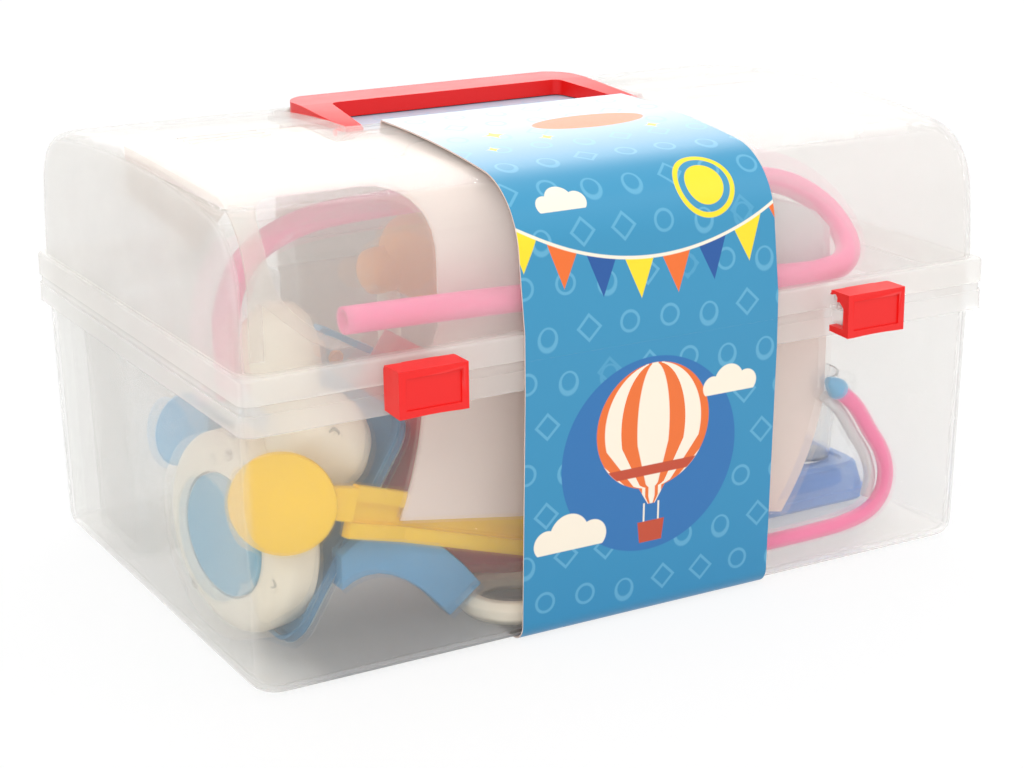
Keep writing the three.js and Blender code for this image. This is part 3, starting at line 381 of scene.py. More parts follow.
@dataclass(frozen=True)
class PrintedCard(Finish):
    """Coated card with a plain print: a balloon on a disc, clouds, pennants and small pale shapes.
    Painted light lightens the ground towards the top, and a painted highlight whitens the lid's top.

    The print is laid out in millimetres on a map named print: across the strip, and along it with
    zero at the case's seam in front. The upper strip is over_top long, the lower one under. Printed
    things are given by their place across and along, and then their sizes.
    """

    over_top: float
    under: float
    ground: Colour = srgb(40, 138, 184)
    # Painted light: towards the top, the ground turns to this lighter blue.
    light: Colour = srgb(58, 148, 188)
    motif: Colour = srgb(128, 198, 226)
    blue: Colour = srgb(36, 112, 176)
    navy: Colour = srgb(24, 84, 156)
    yellow: Colour = srgb(250, 222, 36)
    orange: Colour = srgb(238, 112, 40)
    rust: Colour = srgb(196, 72, 40)
    cream: Colour = srgb(250, 238, 218)
    # Painted highlight: this pale colour whitens the top of the lid.
    pale: Colour = srgb(226, 232, 238)
    motif_share: float = 0.42
    painted_light_rise: Pair = (-80.0, 150.0)
    painted_highlight_rise: Pair = (62.0, 36.0)
    painted_highlight_share: float = 0.6
    disc: Spot = (1.0, -36.0, 31.0)
    balloon: Spot = (2.0, -27.0, 20.0)
    clouds: Sequence[Spot] = ((-27.0, -58.0, 9.0), (29.0, -18.0, 7.0), (-26.0, 44.0, 6.0))
    stars: Sequence[Spot] = ((-22.0, 92.0, 5.0), (-8.0, 84.0, 3.5), (30.0, 84.0, 3.5), (-30.0, 78.0, 3.0))
    sun: Pair = (24.0, 44.0)
    sun_radius: float = 6.5
    sun_ring: Pair = (9.5, 0.8)
    badge: tuple[float, float, float, float] = (14.0, 96.0, 20.0, 7.5)

    def shader(self, graph: Graph) -> Value:
        """The print under a thin coat."""
        across, along, _ = graph.put("ShaderNodeUVMap", {"uv_map": "print"}).parts()
        tint = self._print(graph, across * 1000.0, along * 1000.0)
        fibre = graph.noise(graph.object_place(), 700.0, 3.0)
        return graph.principled(
            Base_Color=tint, Roughness=0.3 + fibre * 0.08, Normal=graph.bump(fibre, 0.05, 0.0001),
            Specular_IOR_Level=0.5,
        )

    def _print(self, graph: Graph, x: Value, y: Value) -> Value:
        """Lay the printed shapes over the ground colour, which carries painted light and a painted
        highlight.

        Args:
            graph: The material's graph.
            x: Place over the width, in millimetres.
            y: Place along the strip, in millimetres, with zero at the case's seam.

        Returns:
            The printed colour.
        """
        height = y.least(self.over_top - y).most(-self.under - y)
        # Painted light lightens the ground towards the top, and a painted highlight whitens the lid's top.
        sheet = Sheet(graph, x, y, graph.mix(height.rise(*self.painted_light_rise), self.ground, self.light))
        sheet.lay(height.rise(*self.painted_highlight_rise) * self.painted_highlight_share, self.pale)
        sheet.lay(self._small_shapes(x, y) * self.motif_share, self.motif)
        sheet.lay(sheet.round(*self.disc), self.blue)
        self._balloon(sheet)
        for cloud in self.clouds:
            sheet.lay(sheet.cloud(*cloud), self.cream)
        self._pennants(sheet)
        far = distance(*sheet.local(*self.sun))
        ring, half = self.sun_ring
        sheet.lay((far - self.sun_radius).inside(), self.yellow)
        sheet.lay((abs(far - ring) - half).inside(), self.yellow)
        across, along, half_width, half_height = self.badge
        dx, dy = sheet.local(across, along)
        sheet.lay((distance(dx / half_width, dy / half_height) - 1.0).inside(0.3 / half_height), self.orange)
        for star in self.stars:
            sheet.lay(sheet.star(*star), self.yellow)
        return sheet.tint

    def _balloon(self, sheet: Sheet) -> None:
        """Print a striped balloon with a basket, in the orange and cream of the photographed print."""
        across, along, radius = self.balloon
        dx, dy = sheet.local(across, along)
        tip, slope, top, mouth, stripes = 27.0, 0.62, 12.0, 25.0, 3.5
        skirt = (abs(dx) - (tip + dy) * slope).most(dy + top).most(-mouth - dy)
        envelope = (distance(dx, dy) - radius).least(skirt).inside()
        bow = (1.0 - (dy / radius) * (dy / radius)).most(0.04).root() * radius
        bow = bow.least((tip + dy).most(0.5) * 0.9)
        stripe = (abs(dx) / bow * stripes % 2.0 - 1.0) * bow / stripes
        sheet.lay(envelope, self.orange)
        sheet.lay(envelope * stripe.inside(), self.cream)
        sheet.lay(envelope * (abs(dy + 14.0) - 1.6).inside(), self.rust)
        rope_out, rope_height, basket_height, half_high = 2.6, -28.0, -34.0, 3.4
        ropes = (abs(abs(dx) - rope_out) - 0.3).inside() * (abs(dy - rope_height) - half_high).inside()
        sheet.lay(ropes, self.cream)
        up = dy - basket_height
        sheet.lay((abs(dx) - 4.4 - up * 0.12).most(abs(up) - half_high).inside(), self.rust)

    def _pennants(self, sheet: Sheet) -> None:
        """Print a string of pennants that sags over the width."""
        lowest, middle, sag, pitch, start, flag_length, slope = 25.0, 4.0, 0.006, 13.0, -100.0, 12.0, 0.42
        drop = lowest + (sheet.x - middle) * (sheet.x - middle) * sag - sheet.y
        away = abs((sheet.x - start) % pitch - pitch / 2)
        flag = (away - (flag_length - drop) * slope).most(-drop)
        order = (sheet.x - start) / pitch % 3.0
        tone = sheet.graph.mix((1.0 - order).inside(0.05), self.navy, self.yellow)
        tone = sheet.graph.mix((2.0 - order).inside(0.05), tone, self.orange)
        sheet.lay(flag.inside(), tone)
        sheet.lay((abs(drop) - 0.5).inside(), self.cream)

    @staticmethod
    def _small_shapes(x: Value, y: Value) -> Value:
        """A mask of outlines in rows, every second row shifted: rings, squares on a corner and drops.

        Args:
            x: Place over the width.
            y: Place along the strip.

        Returns:
            The mask.
        """
        pitch, start = 14.0, -280.0
        row = (y - start) / pitch
        step = row - row % 1.0
        shifted = (x - start / 2 + step % 2.0 * (pitch / 2)) / pitch
        column = shifted - shifted % 1.0
        dx = (shifted % 1.0 - 0.5) * pitch
        dy = (row % 1.0 - 0.5) * pitch
        kind = (step * 1.7 + column * 2.3) % 3.0
        ring = abs(distance(dx, dy) - 3.0) - 0.45
        square = abs(abs(dx + dy).most(abs(dx - dy)) - 3.8) - 0.6
        drop = abs(distance(dx, dy) + dy * 0.45 - 2.6) - 0.45
        first = ring.inside() * (kind - 1.0).inside(0.05)
        second = square.inside() * (kind - 2.0).inside(0.05) * (1.0 - kind).inside(0.05)
        return first.most(second).most(drop.inside() * (2.0 - kind).inside(0.05))


@dataclass(frozen=True)
class PaleFloor(Finish):
    """A floor that is nearly white to the camera and keeps a faint shadow."""

    grey: Colour = (0.88, 0.88, 0.88)
    glow: float = 0.85

    def shader(self, graph: Graph) -> Value:
        """Matte to light, and mostly its own white where it is seen."""
        matte = graph.put("ShaderNodeBsdfDiffuse", Color=self.grey)
        white = graph.put("ShaderNodeEmission", Color=(1.0, 1.0, 1.0), Strength=1.0)
        seen = graph.put("ShaderNodeLightPath", output="Is Camera Ray")
        return graph.blend(seen.most(seen.output("Is Glossy Ray")) * self.glow, matte, white)


class Dress(Enum):
    """The finishes that pieces share; a member's name in small letters names its material."""

    RED = MouldedPlastic(srgb(242, 14, 8), 0.42)
    CREAM = MouldedPlastic(srgb(246, 236, 216), 0.4)
    DIAL_BLUE = MouldedPlastic(srgb(66, 162, 198), 0.4)
    TRAY_BLUE = MouldedPlastic(srgb(64, 130, 170), 0.35)
    DISH_RED = MouldedPlastic(srgb(206, 48, 60), 0.35)
    YELLOW = MouldedPlastic(srgb(255, 206, 22))
    TOOL_BLUE = MouldedPlastic(srgb(92, 160, 206))
    DEEP_BLUE = MouldedPlastic(srgb(84, 144, 222))
    SKY_BLUE = MouldedPlastic(srgb(96, 178, 222))
    PALE_BLUE_WHITE = MouldedPlastic(srgb(206, 230, 238))
    CREAM_SHADOW = MouldedPlastic(srgb(186, 180, 168), 0.5)
    ORANGE = MouldedPlastic(srgb(255, 160, 40))
    PINK = MouldedPlastic(srgb(255, 112, 166), 0.36)
    GREY = MouldedPlastic(srgb(218, 219, 220), 0.42)
    BARE_CARD = WhiteCard(srgb(240, 222, 213))
    # Painted shade: bare card greyed for the liner's upper right, which lies in shade.
    BARE_CARD_GREY = WhiteCard(srgb(212, 207, 208))
    CLEAR = ClearPlastic()
    FROSTED_TUB = FrostedPlastic()
    FROSTED_LID = FrostedPlastic(milk=0.22)
    FAINT_CREAM = FrostedPlastic(0.1, 0.3, (200.0, 201.0), shade_height=-9.0)
    SHEER_STRIP = FrostedPlastic(
        0.26, 0.6, (200.0, 201.0), end_haze=0.0, shade_height=-9.0, white=srgb(240, 226, 212),
    )

    @cached_property
    def material(self) -> bpy.types.Material:
        """The material, made when it is first asked for."""
        return self.value.build(self.name.lower())


def add_object(name: str, data: bpy.types.ID) -> bpy.types.Object:
    """Put an object in the scene.

    Args:
        name: Its name.
        data: Its mesh, lamp or camera.

    Returns:
        The object.
    """
    item = bpy.data.objects.new(name, data)
    bpy.context.scene.collection.objects.link(item)
    return item


@dataclass
class Studio:
    """Camera, lamps, white surroundings and the pale floor."""

    position: Point = (-0.3413, -0.60655, 0.2693)
    azimuth: float = math.radians(29.49)
    depression: float = math.radians(17.30)
    roll: float = math.radians(0.57)
    focal_pixels: float = 2187.7
    picture_width: float = 1024.0
    sensor: float = 36.0
    ambient: float = 0.62
    floor_half: float = 6.0
    floor_drop: float = 0.0002
    target: Point = (0.0, 0.0, 0.07)
    lamps: Sequence[tuple[str, Point, float, float]] = (
        ("key", (-0.9, -1.1, 1.5), 1.2, 16.0),
        ("fill", (1.3, -0.7, 0.9), 1.2, 4.5),
        ("top", (0.0, 0.3, 1.8), 1.4, 9.5),
        ("back", (0.75, 1.35, 0.95), 1.5, 10.5),
    )

    def build(self) -> None:
        """Place everything that isn't part of the case."""
        self._camera()
        self._world()
        self._floor()
        for lamp in self.lamps:
            self._lamp(*lamp)

    def _camera(self) -> None:
        """The photograph's camera, fitted to the case's edges."""
        forward = Vector((
            math.sin(self.azimuth) * math.cos(self.depression),
            math.cos(self.azimuth) * math.cos(self.depression),
            -math.sin(self.depression),
        ))
        right = forward.cross(Vector((0, 0, 1))).normalized()
        down = -right.cross(forward)
        tilted_right = right * math.cos(self.roll) + down * math.sin(self.roll)
        tilted_down = down * math.cos(self.roll) - right * math.sin(self.roll)
        matrix = Matrix((tilted_right, -tilted_down, -forward)).transposed().to_4x4()
        matrix.translation = Vector(self.position)
        data = bpy.data.cameras.new("camera")
        data.sensor_width = self.sensor
        data.lens = self.focal_pixels / self.picture_width * self.sensor
        data.clip_start = 0.01
        camera = add_object("camera", data)
        camera.matrix_world = matrix
        bpy.context.scene.camera = camera

    def _world(self) -> None:
        """Even white light, and pure white where it is seen."""
        world = bpy.data.worlds.new("surroundings")
        world.use_nodes = True
        bpy.context.scene.world = world
        graph = Graph(world.node_tree)
        white = (1.0, 1.0, 1.0)
        lighting = graph.put("ShaderNodeBackground", Color=white, Strength=self.ambient)
        pure = graph.put("ShaderNodeBackground", Color=white, Strength=1.0)
        seen = graph.put("ShaderNodeLightPath", output="Is Camera Ray")
        looks = seen.most(seen.output("Is Glossy Ray")).most(seen.output("Is Transmission Ray"))
        graph.add("ShaderNodeOutputWorld", Surface=graph.blend(looks, lighting, pure))

    def _floor(self) -> None:
        """A wide pale floor just under the case."""
        mesh = bpy.data.meshes.new("floor")
        half = self.floor_half
        corners = [(-half, -half, 0), (half, -half, 0), (half, half, 0), (-half, half, 0)]
        mesh.from_pydata(corners, [], [(0, 1, 2, 3)])
        mesh.materials.append(PaleFloor().build("pale_floor"))
        floor = add_object("floor", mesh)
        floor.location.z = -self.floor_drop

    def _lamp(self, name: str, place: Point, size: float, power: float) -> None:
        """One soft square lamp aimed at the case.

        Args:
            name: The lamp's name.
            place: Its place in metres.
            size: Its side in metres.
            power: Its power in watts.
        """
        data = bpy.data.lights.new(name, "AREA")
        data.size = size
        data.energy = power
        lamp = add_object(name, data)
        lamp.location = place
        lamp.rotation_euler = (Vector(self.target) - Vector(place)).to_track_quat("-Z", "Y").to_euler()


def write_mesh(shape: bmesh.types.BMesh, mesh: bpy.types.Mesh, angle: float) -> bpy.types.Mesh:
    """Write a shape to a mesh, and smooth it between edges over an angle.

    Args:
        shape: The shape, which is freed.
        mesh: The mesh.
        angle: The angle in degrees.

    Returns:
        The mesh.
    """
    shape.to_mesh(mesh)
    shape.free()
    mesh.shade_smooth()
    mesh.set_sharp_from_angle(angle=math.radians(angle))
    return mesh


def place_piece(name: str, mesh: bpy.types.Mesh, body: str, nodes: Sequence[str],
                materials: Sequence[bpy.types.Material]) -> bpy.types.Object:
    """Put a mesh in the scene in place of CAD nodes.

    Args:
        name: The piece's name.
        mesh: Its mesh, in metres in the shared frame.
        body: The body that it rides on.
        nodes: The CAD nodes that it stands for.
        materials: Its materials, in the order of its faces' indices.

    Returns:
        The piece.
    """
    for material in materials:
        mesh.materials.append(material)
    item = add_object(name, mesh)
    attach(item, body)
    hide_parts(*nodes)
    LOG.info("made %s", name)
    return item


def refine(node: str, body: str, slot: str, dress: Dress, bevel: float = 0.0) -> bpy.types.Object:
    """Stand in for a CAD node with a copy whose curved sides are smooth and whose edges are eased.

    Args:
        node: The node's name.
        body: The body that it rides on.
        slot: The record's material slot; not used.
        dress: Its finish.
        bevel: Width of the eased edges in millimetres, or zero.

    Returns:
        The piece.
    """
    sharp_angle = 30.0
    source = bpy.data.objects[node]
    shape = bmesh.new()
    shape.from_mesh(source.data)
    shape.transform(source.matrix_world)
    bmesh.ops.remove_doubles(shape, verts=shape.verts, dist=0.000002)
    bmesh.ops.dissolve_limit(shape, angle_limit=math.radians(0.4), verts=shape.verts, edges=shape.edges)
    name = node + "_fine"
    mesh = write_mesh(shape, bpy.data.meshes.new(name), sharp_angle)
    item = place_piece(name, mesh, body, [node], [dress.material])
    if bevel:
        eased = item.modifiers.new("eased", "BEVEL")
        eased.width = bevel * MM
        eased.segments = 3
        eased.angle_limit = math.radians(sharp_angle + 5)
        eased.harden_normals = True
    return item


class Axis(Enum):
    """The horizontal axis that an outline is drawn out along."""

    X = 0
    Y = 1


def circle(sides: int) -> Outline:
    """Points of a circle with radius one."""
    return [(math.cos(turn), math.sin(turn)) for turn in (step / sides * math.tau for step in range(sides))]


def arc(centre: Pair, radius: float, first: float, last: float, steps: int = 24) -> list[Pair]:
    """Points of an arc.

    Args:
        centre: Its centre.
        radius: Its radius.
        first: The angle where it starts.
        last: The angle where it ends.
        steps: Steps between its points.

    Returns:
        The points.
    """
    turns = (first + (last - first) * step / steps for step in range(steps + 1))
    return [(centre[0] + radius * math.cos(turn), centre[1] + radius * math.sin(turn)) for turn in turns]


def oval(half_width: float, half_depth: float, corner: float, offset: float = 0.0) -> list[Pair]:
    """A rounded rectangle.

    Args:
        half_width: Half its width.
        half_depth: Half its depth.
        corner: Radius of its corners.
        offset: How far it is moved sideways.

    Returns:
        Its points.
    """
    points = []
    for quarter, (sx, sy) in enumerate(((1, 1), (-1, 1), (-1, -1), (1, -1))):
        centre = (offset + sx * (half_width - corner), sy * (half_depth - corner))
        points += arc(centre, corner, quarter * math.pi / 2, (quarter + 1) * math.pi / 2, 6)
    return points


class Form:
    """A mesh under construction, in millimetres in the CAD model's own frame."""

    def __init__(self) -> None:
        """Start empty, with faces that take the first finish."""
        self.shape = bmesh.new()
        self.ink = 0

    def skin(self, rings: Sequence[Sequence[Vector]], capped: bool = True) -> None:
        """Join rings of points with quads.

        Args:
            rings: Rings with as many points each.
            capped: Whether both ends are filled.
        """
        rows = [[self.shape.verts.new(point) for point in ring] for ring in rings]
        faces = []
        for low, high in zip(rows, rows[1:]):
            for step in range(len(low)):
                after = (step + 1) % len(low)
                faces.append(self.shape.faces.new((low[step], low[after], high[after], high[step])))
        if capped:
            faces.append(self.shape.faces.new(list(reversed(rows[0]))))
            faces.append(self.shape.faces.new(rows[-1]))
        for face in faces:
            face.material_index = self.ink

    def lathe(self, profile: Outline, centre: Point, axis: Point, sides: int = 64) -> None:
        """Turn a profile round an axis.

        Args:
            profile: Radii and heights; radius zero is a point of the axis.
            centre: Where the height is zero.
            axis: The axis's direction.
            sides: Sides of the turned body.
        """
        turn = Vector(axis).normalized().to_track_quat("Z", "Y").to_matrix()
        self.skin([
            [Vector(centre) + turn @ Vector((radius * x, radius * y, height)) for x, y in circle(sides)]
            for radius, height in profile
        ])

    def prism(self, outline: Outline, low: float, high: float, axis: Axis) -> None:
        """Draw an outline out along the x or the y axis.

        Args:
            outline: Points as the other horizontal axis and height.
            low: Start along the axis.
            high: End along it.
            axis: The axis.
        """
        self.skin([
            [Vector((along, u, v)) if axis is Axis.X else Vector((u, along, v)) for u, v in outline]
            for along in (low, high)
        ])

    def tube(self, path: Sequence[Vector], radius: float, sides: int = 20, first: Point = (0, 1, 0),
             bore: float = 0.0, depth: float = 0.0) -> None:
        """Sweep a ring along a path, and turn it inwards at the start where there is a bore.

        Args:
            path: The path's points.
            radius: The ring's radius.
            sides: The ring's sides.
            first: Roughly the way from the path to the ring's first point.
            bore: The bore's radius, or zero.
            depth: The bore's depth.
        """
        stations = [(0, bore, depth), (0, bore, 0.0)] if bore else []
        stations += [(index, radius, 0.0) for index in range(len(path))]
        normal = Vector(first)
        rings = []
        for index, size, inwards in stations:
            along = (path[min(index + 1, len(path) - 1)] - path[max(index - 1, 0)]).normalized()
            normal = (normal - along * normal.dot(along)).normalized()
            side = along.cross(normal)
            middle = path[index] + along * inwards
            rings.append([middle + (normal * x + side * y) * size for x, y in circle(sides)])
        self.skin(rings)

    def bar(self, low: Vector, high: Vector, first: float, last: float, half: float) -> None:
        """Make a flat upright bar between two points.

        Args:
            low: Its start.
            high: Its end.
            first: Half its height at the start.
            last: Half its height at the end.
            half: Half its thickness.
        """
        across, up = upright(low, high)
        side = across * half
        corners = ((1, -1), (-1, -1), (-1, 1), (1, 1))
        self.skin([
            [point + side * out + up * (tall * rise) for out, rise in corners]
            for point, tall in ((low, first), (high, last))
        ])

    def mesh(self, name: str, angle: float = 32.0) -> bpy.types.Mesh:
        """Turn the form into a mesh in metres in the shared frame.

        Args:
            name: The mesh's name.
            angle: Edges over this angle, in degrees, stay edges.

        Returns:
            The mesh.
        """
        bmesh.ops.remove_doubles(self.shape, verts=self.shape.verts, dist=0.0005)
        bmesh.ops.recalc_face_normals(self.shape, faces=self.shape.faces)
        self.shape.transform(Matrix.Scale(MM, 4) @ Matrix.Translation((0, SHIFT, 0)))
        return write_mesh(self.shape, bpy.data.meshes.new(name), angle)

    def place(self, name: str, nodes: Sequence[str], slot: str, *dresses: Dress, body: str = "case",
              angle: float = 32.0) -> None:
        """Place the form as a piece whose faces take the finishes by their ink.

        Args:
            name: The piece's name.
            nodes: The nodes that it stands for.
            slot: The record's material slot; not used.
            *dresses: Its finishes.
            body: The body that it rides on.
            angle: Edges over this angle stay edges.
        """
        place_piece(name, self.mesh(name, angle), body, nodes, [dress.material for dress in dresses])


def upright(low: Vector, high: Vector) -> tuple[Vector, Vector]:
    """Directions level across and upright across the way between two points."""
    along = (high - low).normalized()
    across = along.cross(Vector((0, 0, 1))).normalized()
    return across, across.cross(along).normalized()


def curve(points: Sequence[Vector], steps: int = 8) -> list[Vector]:
    """A centripetal curve through points.

    Args:
        points: The points of the route.
        steps: Steps between two points.

    Returns:
        The points along the curve.
    """
    ends = [points[0] * 2 - points[1], *points, points[-1] * 2 - points[-2]]
    path = []
    for a, b, c, d in zip(ends, ends[1:], ends[2:], ends[3:]):
        first, second, third = ((v - u).length ** 0.5 for u, v in ((a, b), (b, c), (c, d)))
        start = ((b - a) / first - (c - a) / (first + second) + (c - b) / second) * second
        finish = ((c - b) / second - (d - b) / (second + third) + (d - c) / third) * second
        for step in range(steps):
            t = step / steps
            path.append(
                b * (2 * t ** 3 - 3 * t ** 2 + 1) + start * (t ** 3 - 2 * t ** 2 + t)
                + c * (3 * t ** 2 - 2 * t ** 3) + finish * (t ** 3 - t ** 2)
            )
    path.append(points[-1].copy())
    return path


def cut_off(item: bpy.types.Object, form: Form) -> None:
    """Take a form away from a piece.

    Args:
        item: The piece.
        form: The form.
    """
    cutter = add_object("cutter", form.mesh("cutter"))
    trim = item.modifiers.new("trim", "BOOLEAN")
    trim.operation = "DIFFERENCE"
    trim.solver = "EXACT"
    trim.object = cutter
    bpy.context.view_layer.update()
    whole = item.evaluated_get(bpy.context.evaluated_depsgraph_get())
    mesh = bpy.data.meshes.new_from_object(whole)
    item.modifiers.clear()
    item.data = mesh
    bpy.data.objects.remove(cutter)


@dataclass
class CardLiner:
    """White card liner: its edges as photographed, a sheer strip left of its window, and painted shade on
    its upper right.

    The cuts are outlines in x and height with their start and end in y: the lower left, the upper
    right and the corner left of the sheer strip.
    """

    left_edge: Pair = (-78.0, -58.0)
    left_shift: float = 5.0
    right_edge: float = 60.0
    right_shift: float = 3.8
    left_full: float = 86.0
    left_free: float = 97.0
    sheer_right: float = -84.0
    sheer_top: float = 137.0
    # The card right of and above these two places, in millimetres, takes painted shade.
    shade_left: float = 46.0
    shade_bottom: float = 98.0
    cuts: Sequence[tuple[Outline, float, float]] = (
        (((-90, 0), (-15.5, 0), (-15.5, 22.6), (-90, 45.8)), -75, -65),
        (
            ((50, 123.6), (57.6, 121.8), (67.4, 118.6), (73.3, 115.8), (79.5, 109.6), (82.9, 103.9),
             (95, 103.9), (95, 150), (50, 150)), -85, 30,
        ),
        (
            ((-115.5, 90), (-115.5, 112), (-112.6, 109.4), (-109.4, 106.4), (-101.5, 99.6), (-94, 95.6),
             (-86, 93.5), (-86, 90)), -75, -65,
        ),
    )

    def build(self) -> None:
        """Make the liner from its node."""
        item = refine("card_liner", "case", "white_card", Dress.BARE_CARD)
        for outline, start, end in self.cuts:
            cutter = Form()
            cutter.prism(outline, start, end, Axis.Y)
            cut_off(item, cutter)
        item.data.materials.append(Dress.SHEER_STRIP.material)
        # Third finish: a greyer card, painted shade on the upper right.
        item.data.materials.append(Dress.BARE_CARD_GREY.material)
        self._shape(item.data)

    def _shape(self, mesh: bpy.types.Mesh) -> None:
        """Move the side edges, lay the sheer on its part, and paint shade on the card's upper right.

        Args:
            mesh: The liner's mesh.
        """
        shape = bmesh.new()
        shape.from_mesh(mesh)
        level, sideways = Vector((0, 0, 1)), Vector((1, 0, 0))
        for normal, place in (
            (level, self.sheer_top), (sideways, self.sheer_right),
            (level, self.shade_bottom), (sideways, self.shade_left),
        ):
            everything = [*shape.verts, *shape.edges, *shape.faces]
            bmesh.ops.bisect_plane(shape, geom=everything, plane_co=normal * place * MM, plane_no=normal)
        for corner in shape.verts:
            x, z = corner.co.x / MM, corner.co.z / MM
            share = min(1.0, max(0.0, (self.left_free - z) / (self.left_free - self.left_full)))
            if self.left_edge[0] < x < self.left_edge[1]:
                corner.co.x -= self.left_shift * share * MM
            elif x > self.right_edge:
                corner.co.x -= self.right_shift * share * MM
        for face in shape.faces:
            middle = face.calc_center_median() / MM
            if middle.x < self.sheer_right and middle.z < self.sheer_top:
                face.material_index = 1
            # The upper right takes the greyer card: painted shade.
            elif middle.x > self.shade_left and middle.z > self.shade_bottom:
                face.material_index = 2
        write_mesh(shape, mesh, 30.0)


@dataclass
class CardBand:
    """The printed band: finer arcs than its CAD strips, printed outside, bare card inside."""

    start: float = -42.5
    end: float = 46.5
    stand: float = 0.3
    thick: float = 0.5
    seam: float = 88.9
    rim_front: float = -87.3
    rim_bottom: float = 80.2
    flange_top: float = 96.8
    base_depth: float = 169.4
    base_edge: float = 5.0
    foot: float = 1.0
    lid_depth: float = 172.2
    lid_top: float = 144.3
    lid_draft: float = math.radians(3.2)
    shoulder: float = 23.0
    crown: float = 480.0
    well_near: float = 1.0
    well_slope: float = 2.0
    well_floor: float = 139.0
    well_far: float = 57.2
    well_margin: float = 4.0
    parting: float = 0.004

    def build(self) -> None:
        """Make both strips."""
        upper, lower = self._upper_path(), self._lower_path()
        lengths = (sum(math.dist(a, b) for a, b in zip(path, path[1:])) for path in (upper, lower))
        materials = [PrintedCard(*lengths).build("printed_card"), Dress.BARE_CARD.material]
        for name, body, node, path, upward in (
            ("printed_band_upper", "lid", "card_band_upper", upper, 1),
            ("printed_band_lower", "case", "card_band_lower", lower, -1),
        ):
            place_piece(name, self._strip(name, path, upward), body, [node], materials)

    def _crown_height(self, y: float) -> float:
        """Height of the lid's crown at a depth."""
        return self.lid_top - self.crown + math.sqrt(self.crown ** 2 - y * y)

    def _lid_arc(self) -> list[Pair]:
        """Front half of the lid's outline over the flange: the shoulder, which meets the wall and the crown.

        Returns:
            Its points, with fine steps.
        """
        half = self.lid_depth / 2
        sine, cosine = math.sin(self.lid_draft), math.cos(self.lid_draft)
        low = self.lid_top - self.crown
        start_y = -half + self.shoulder * cosine
        start_z = self.seam - self.shoulder * sine - low
        b = start_y * sine + start_z * cosine
        c = start_y ** 2 + start_z ** 2 - (self.crown - self.shoulder) ** 2
        rise = -b + math.sqrt(b * b - c)
        centre_y = start_y + rise * sine
        centre_z = start_z + rise * cosine + low
        crown_angle = math.atan2(centre_z - low, centre_y)
        shoulder = arc((centre_y, centre_z), self.shoulder, math.pi - self.lid_draft, crown_angle)
        return shoulder + arc((0.0, low), self.crown, crown_angle, math.pi / 2)[1:-1]

    def _upper_path(self) -> list[Pair]:
        """The lid's outline from the seam in front to the seam behind, down into the handle's well.

        Returns:
            Its points.
        """
        front = [(self.rim_front, self.seam + self.parting), (self.rim_front, self.flange_top)]
        arc = self._lid_arc()
        near, far = self.well_near, self.well_far
        dip = [
            (near, self._crown_height(near)), (near + self.well_slope, self.well_floor),
            (far, self.well_floor), (far, self._crown_height(far)),
        ]
        before = [point for point in arc if point[0] < near - self.well_margin]
        after = [(-y, z) for y, z in reversed(arc) if -y > far + self.well_margin]
        return [*front, *before, *dip, *after, *((-y, z) for y, z in reversed(front))]

    def _lower_path(self) -> list[Pair]:
        """The tub's outline from the seam in front, under the base, to the seam behind.

        Returns:
            Its points.
        """
        front = [(self.rim_front, self.seam - self.parting), (self.rim_front, self.rim_bottom)]
        centre = (self.base_edge - self.base_depth / 2, self.base_edge + self.foot)
        front += arc(centre, self.base_edge, math.pi, math.pi * 1.5, 12)
        return [*front, *((-y, z) for y, z in reversed(front))]

    def _strip(self, name: str, path: Outline, upward: int) -> bpy.types.Mesh:
        """Sweep the strip's section along a path and lay the print on its outer side.

        Args:
            name: The mesh's name.
            path: Points in depth and height.
            upward: 1 for the upper strip, whose print runs up from the seam, or -1 for the lower one.

        Returns:
            The mesh.
        """
        points = [Vector(point) for point in path]
        shape = bmesh.new()
        uv = shape.loops.layers.uv.new("print")
        rows = []
        length = 0.0
        for index, point in enumerate(points):
            before = (point - points[index - 1]).normalized() if index else None
            after = (points[index + 1] - point).normalized() if index + 1 < len(points) else None
            first, second = before or after, after or before
            along = (first + second).normalized()
            outwards = Vector((-along.y, along.x)) * upward / max(along.dot(second), 0.5)
            if index:
                length += (point - points[index - 1]).length
            ring = []
            for offset in (self.stand + self.thick, self.stand):
                edge = point + outwards * offset
                for x in (self.start, self.end):
                    ring.append(shape.verts.new((x * MM, (edge.x + SHIFT) * MM, edge.y * MM)))
            rows.append((ring, length * upward))
        for (low, low_at), (high, high_at) in zip(rows, rows[1:]):
            for a, b, side in ((0, 1, 0), (1, 3, 1), (3, 2, 1), (2, 0, 1)):
                face = shape.faces.new((low[a], low[b], high[b], high[a]))
                face.material_index = side
                corners = ((a, low_at), (b, low_at), (b, high_at), (a, high_at))
                for loop, (corner, at) in zip(face.loops, corners):
                    loop[uv].uv = ((self.start, self.end)[corner % 2] * MM, at * MM)
        for row, order in ((rows[0][0], (0, 2, 3, 1)), (rows[-1][0], (0, 1, 3, 2))):
            shape.faces.new([row[corner] for corner in order]).material_index = 1
        bmesh.ops.recalc_face_normals(shape, faces=shape.faces)
        return write_mesh(shape, bpy.data.meshes.new(name), 35.0)


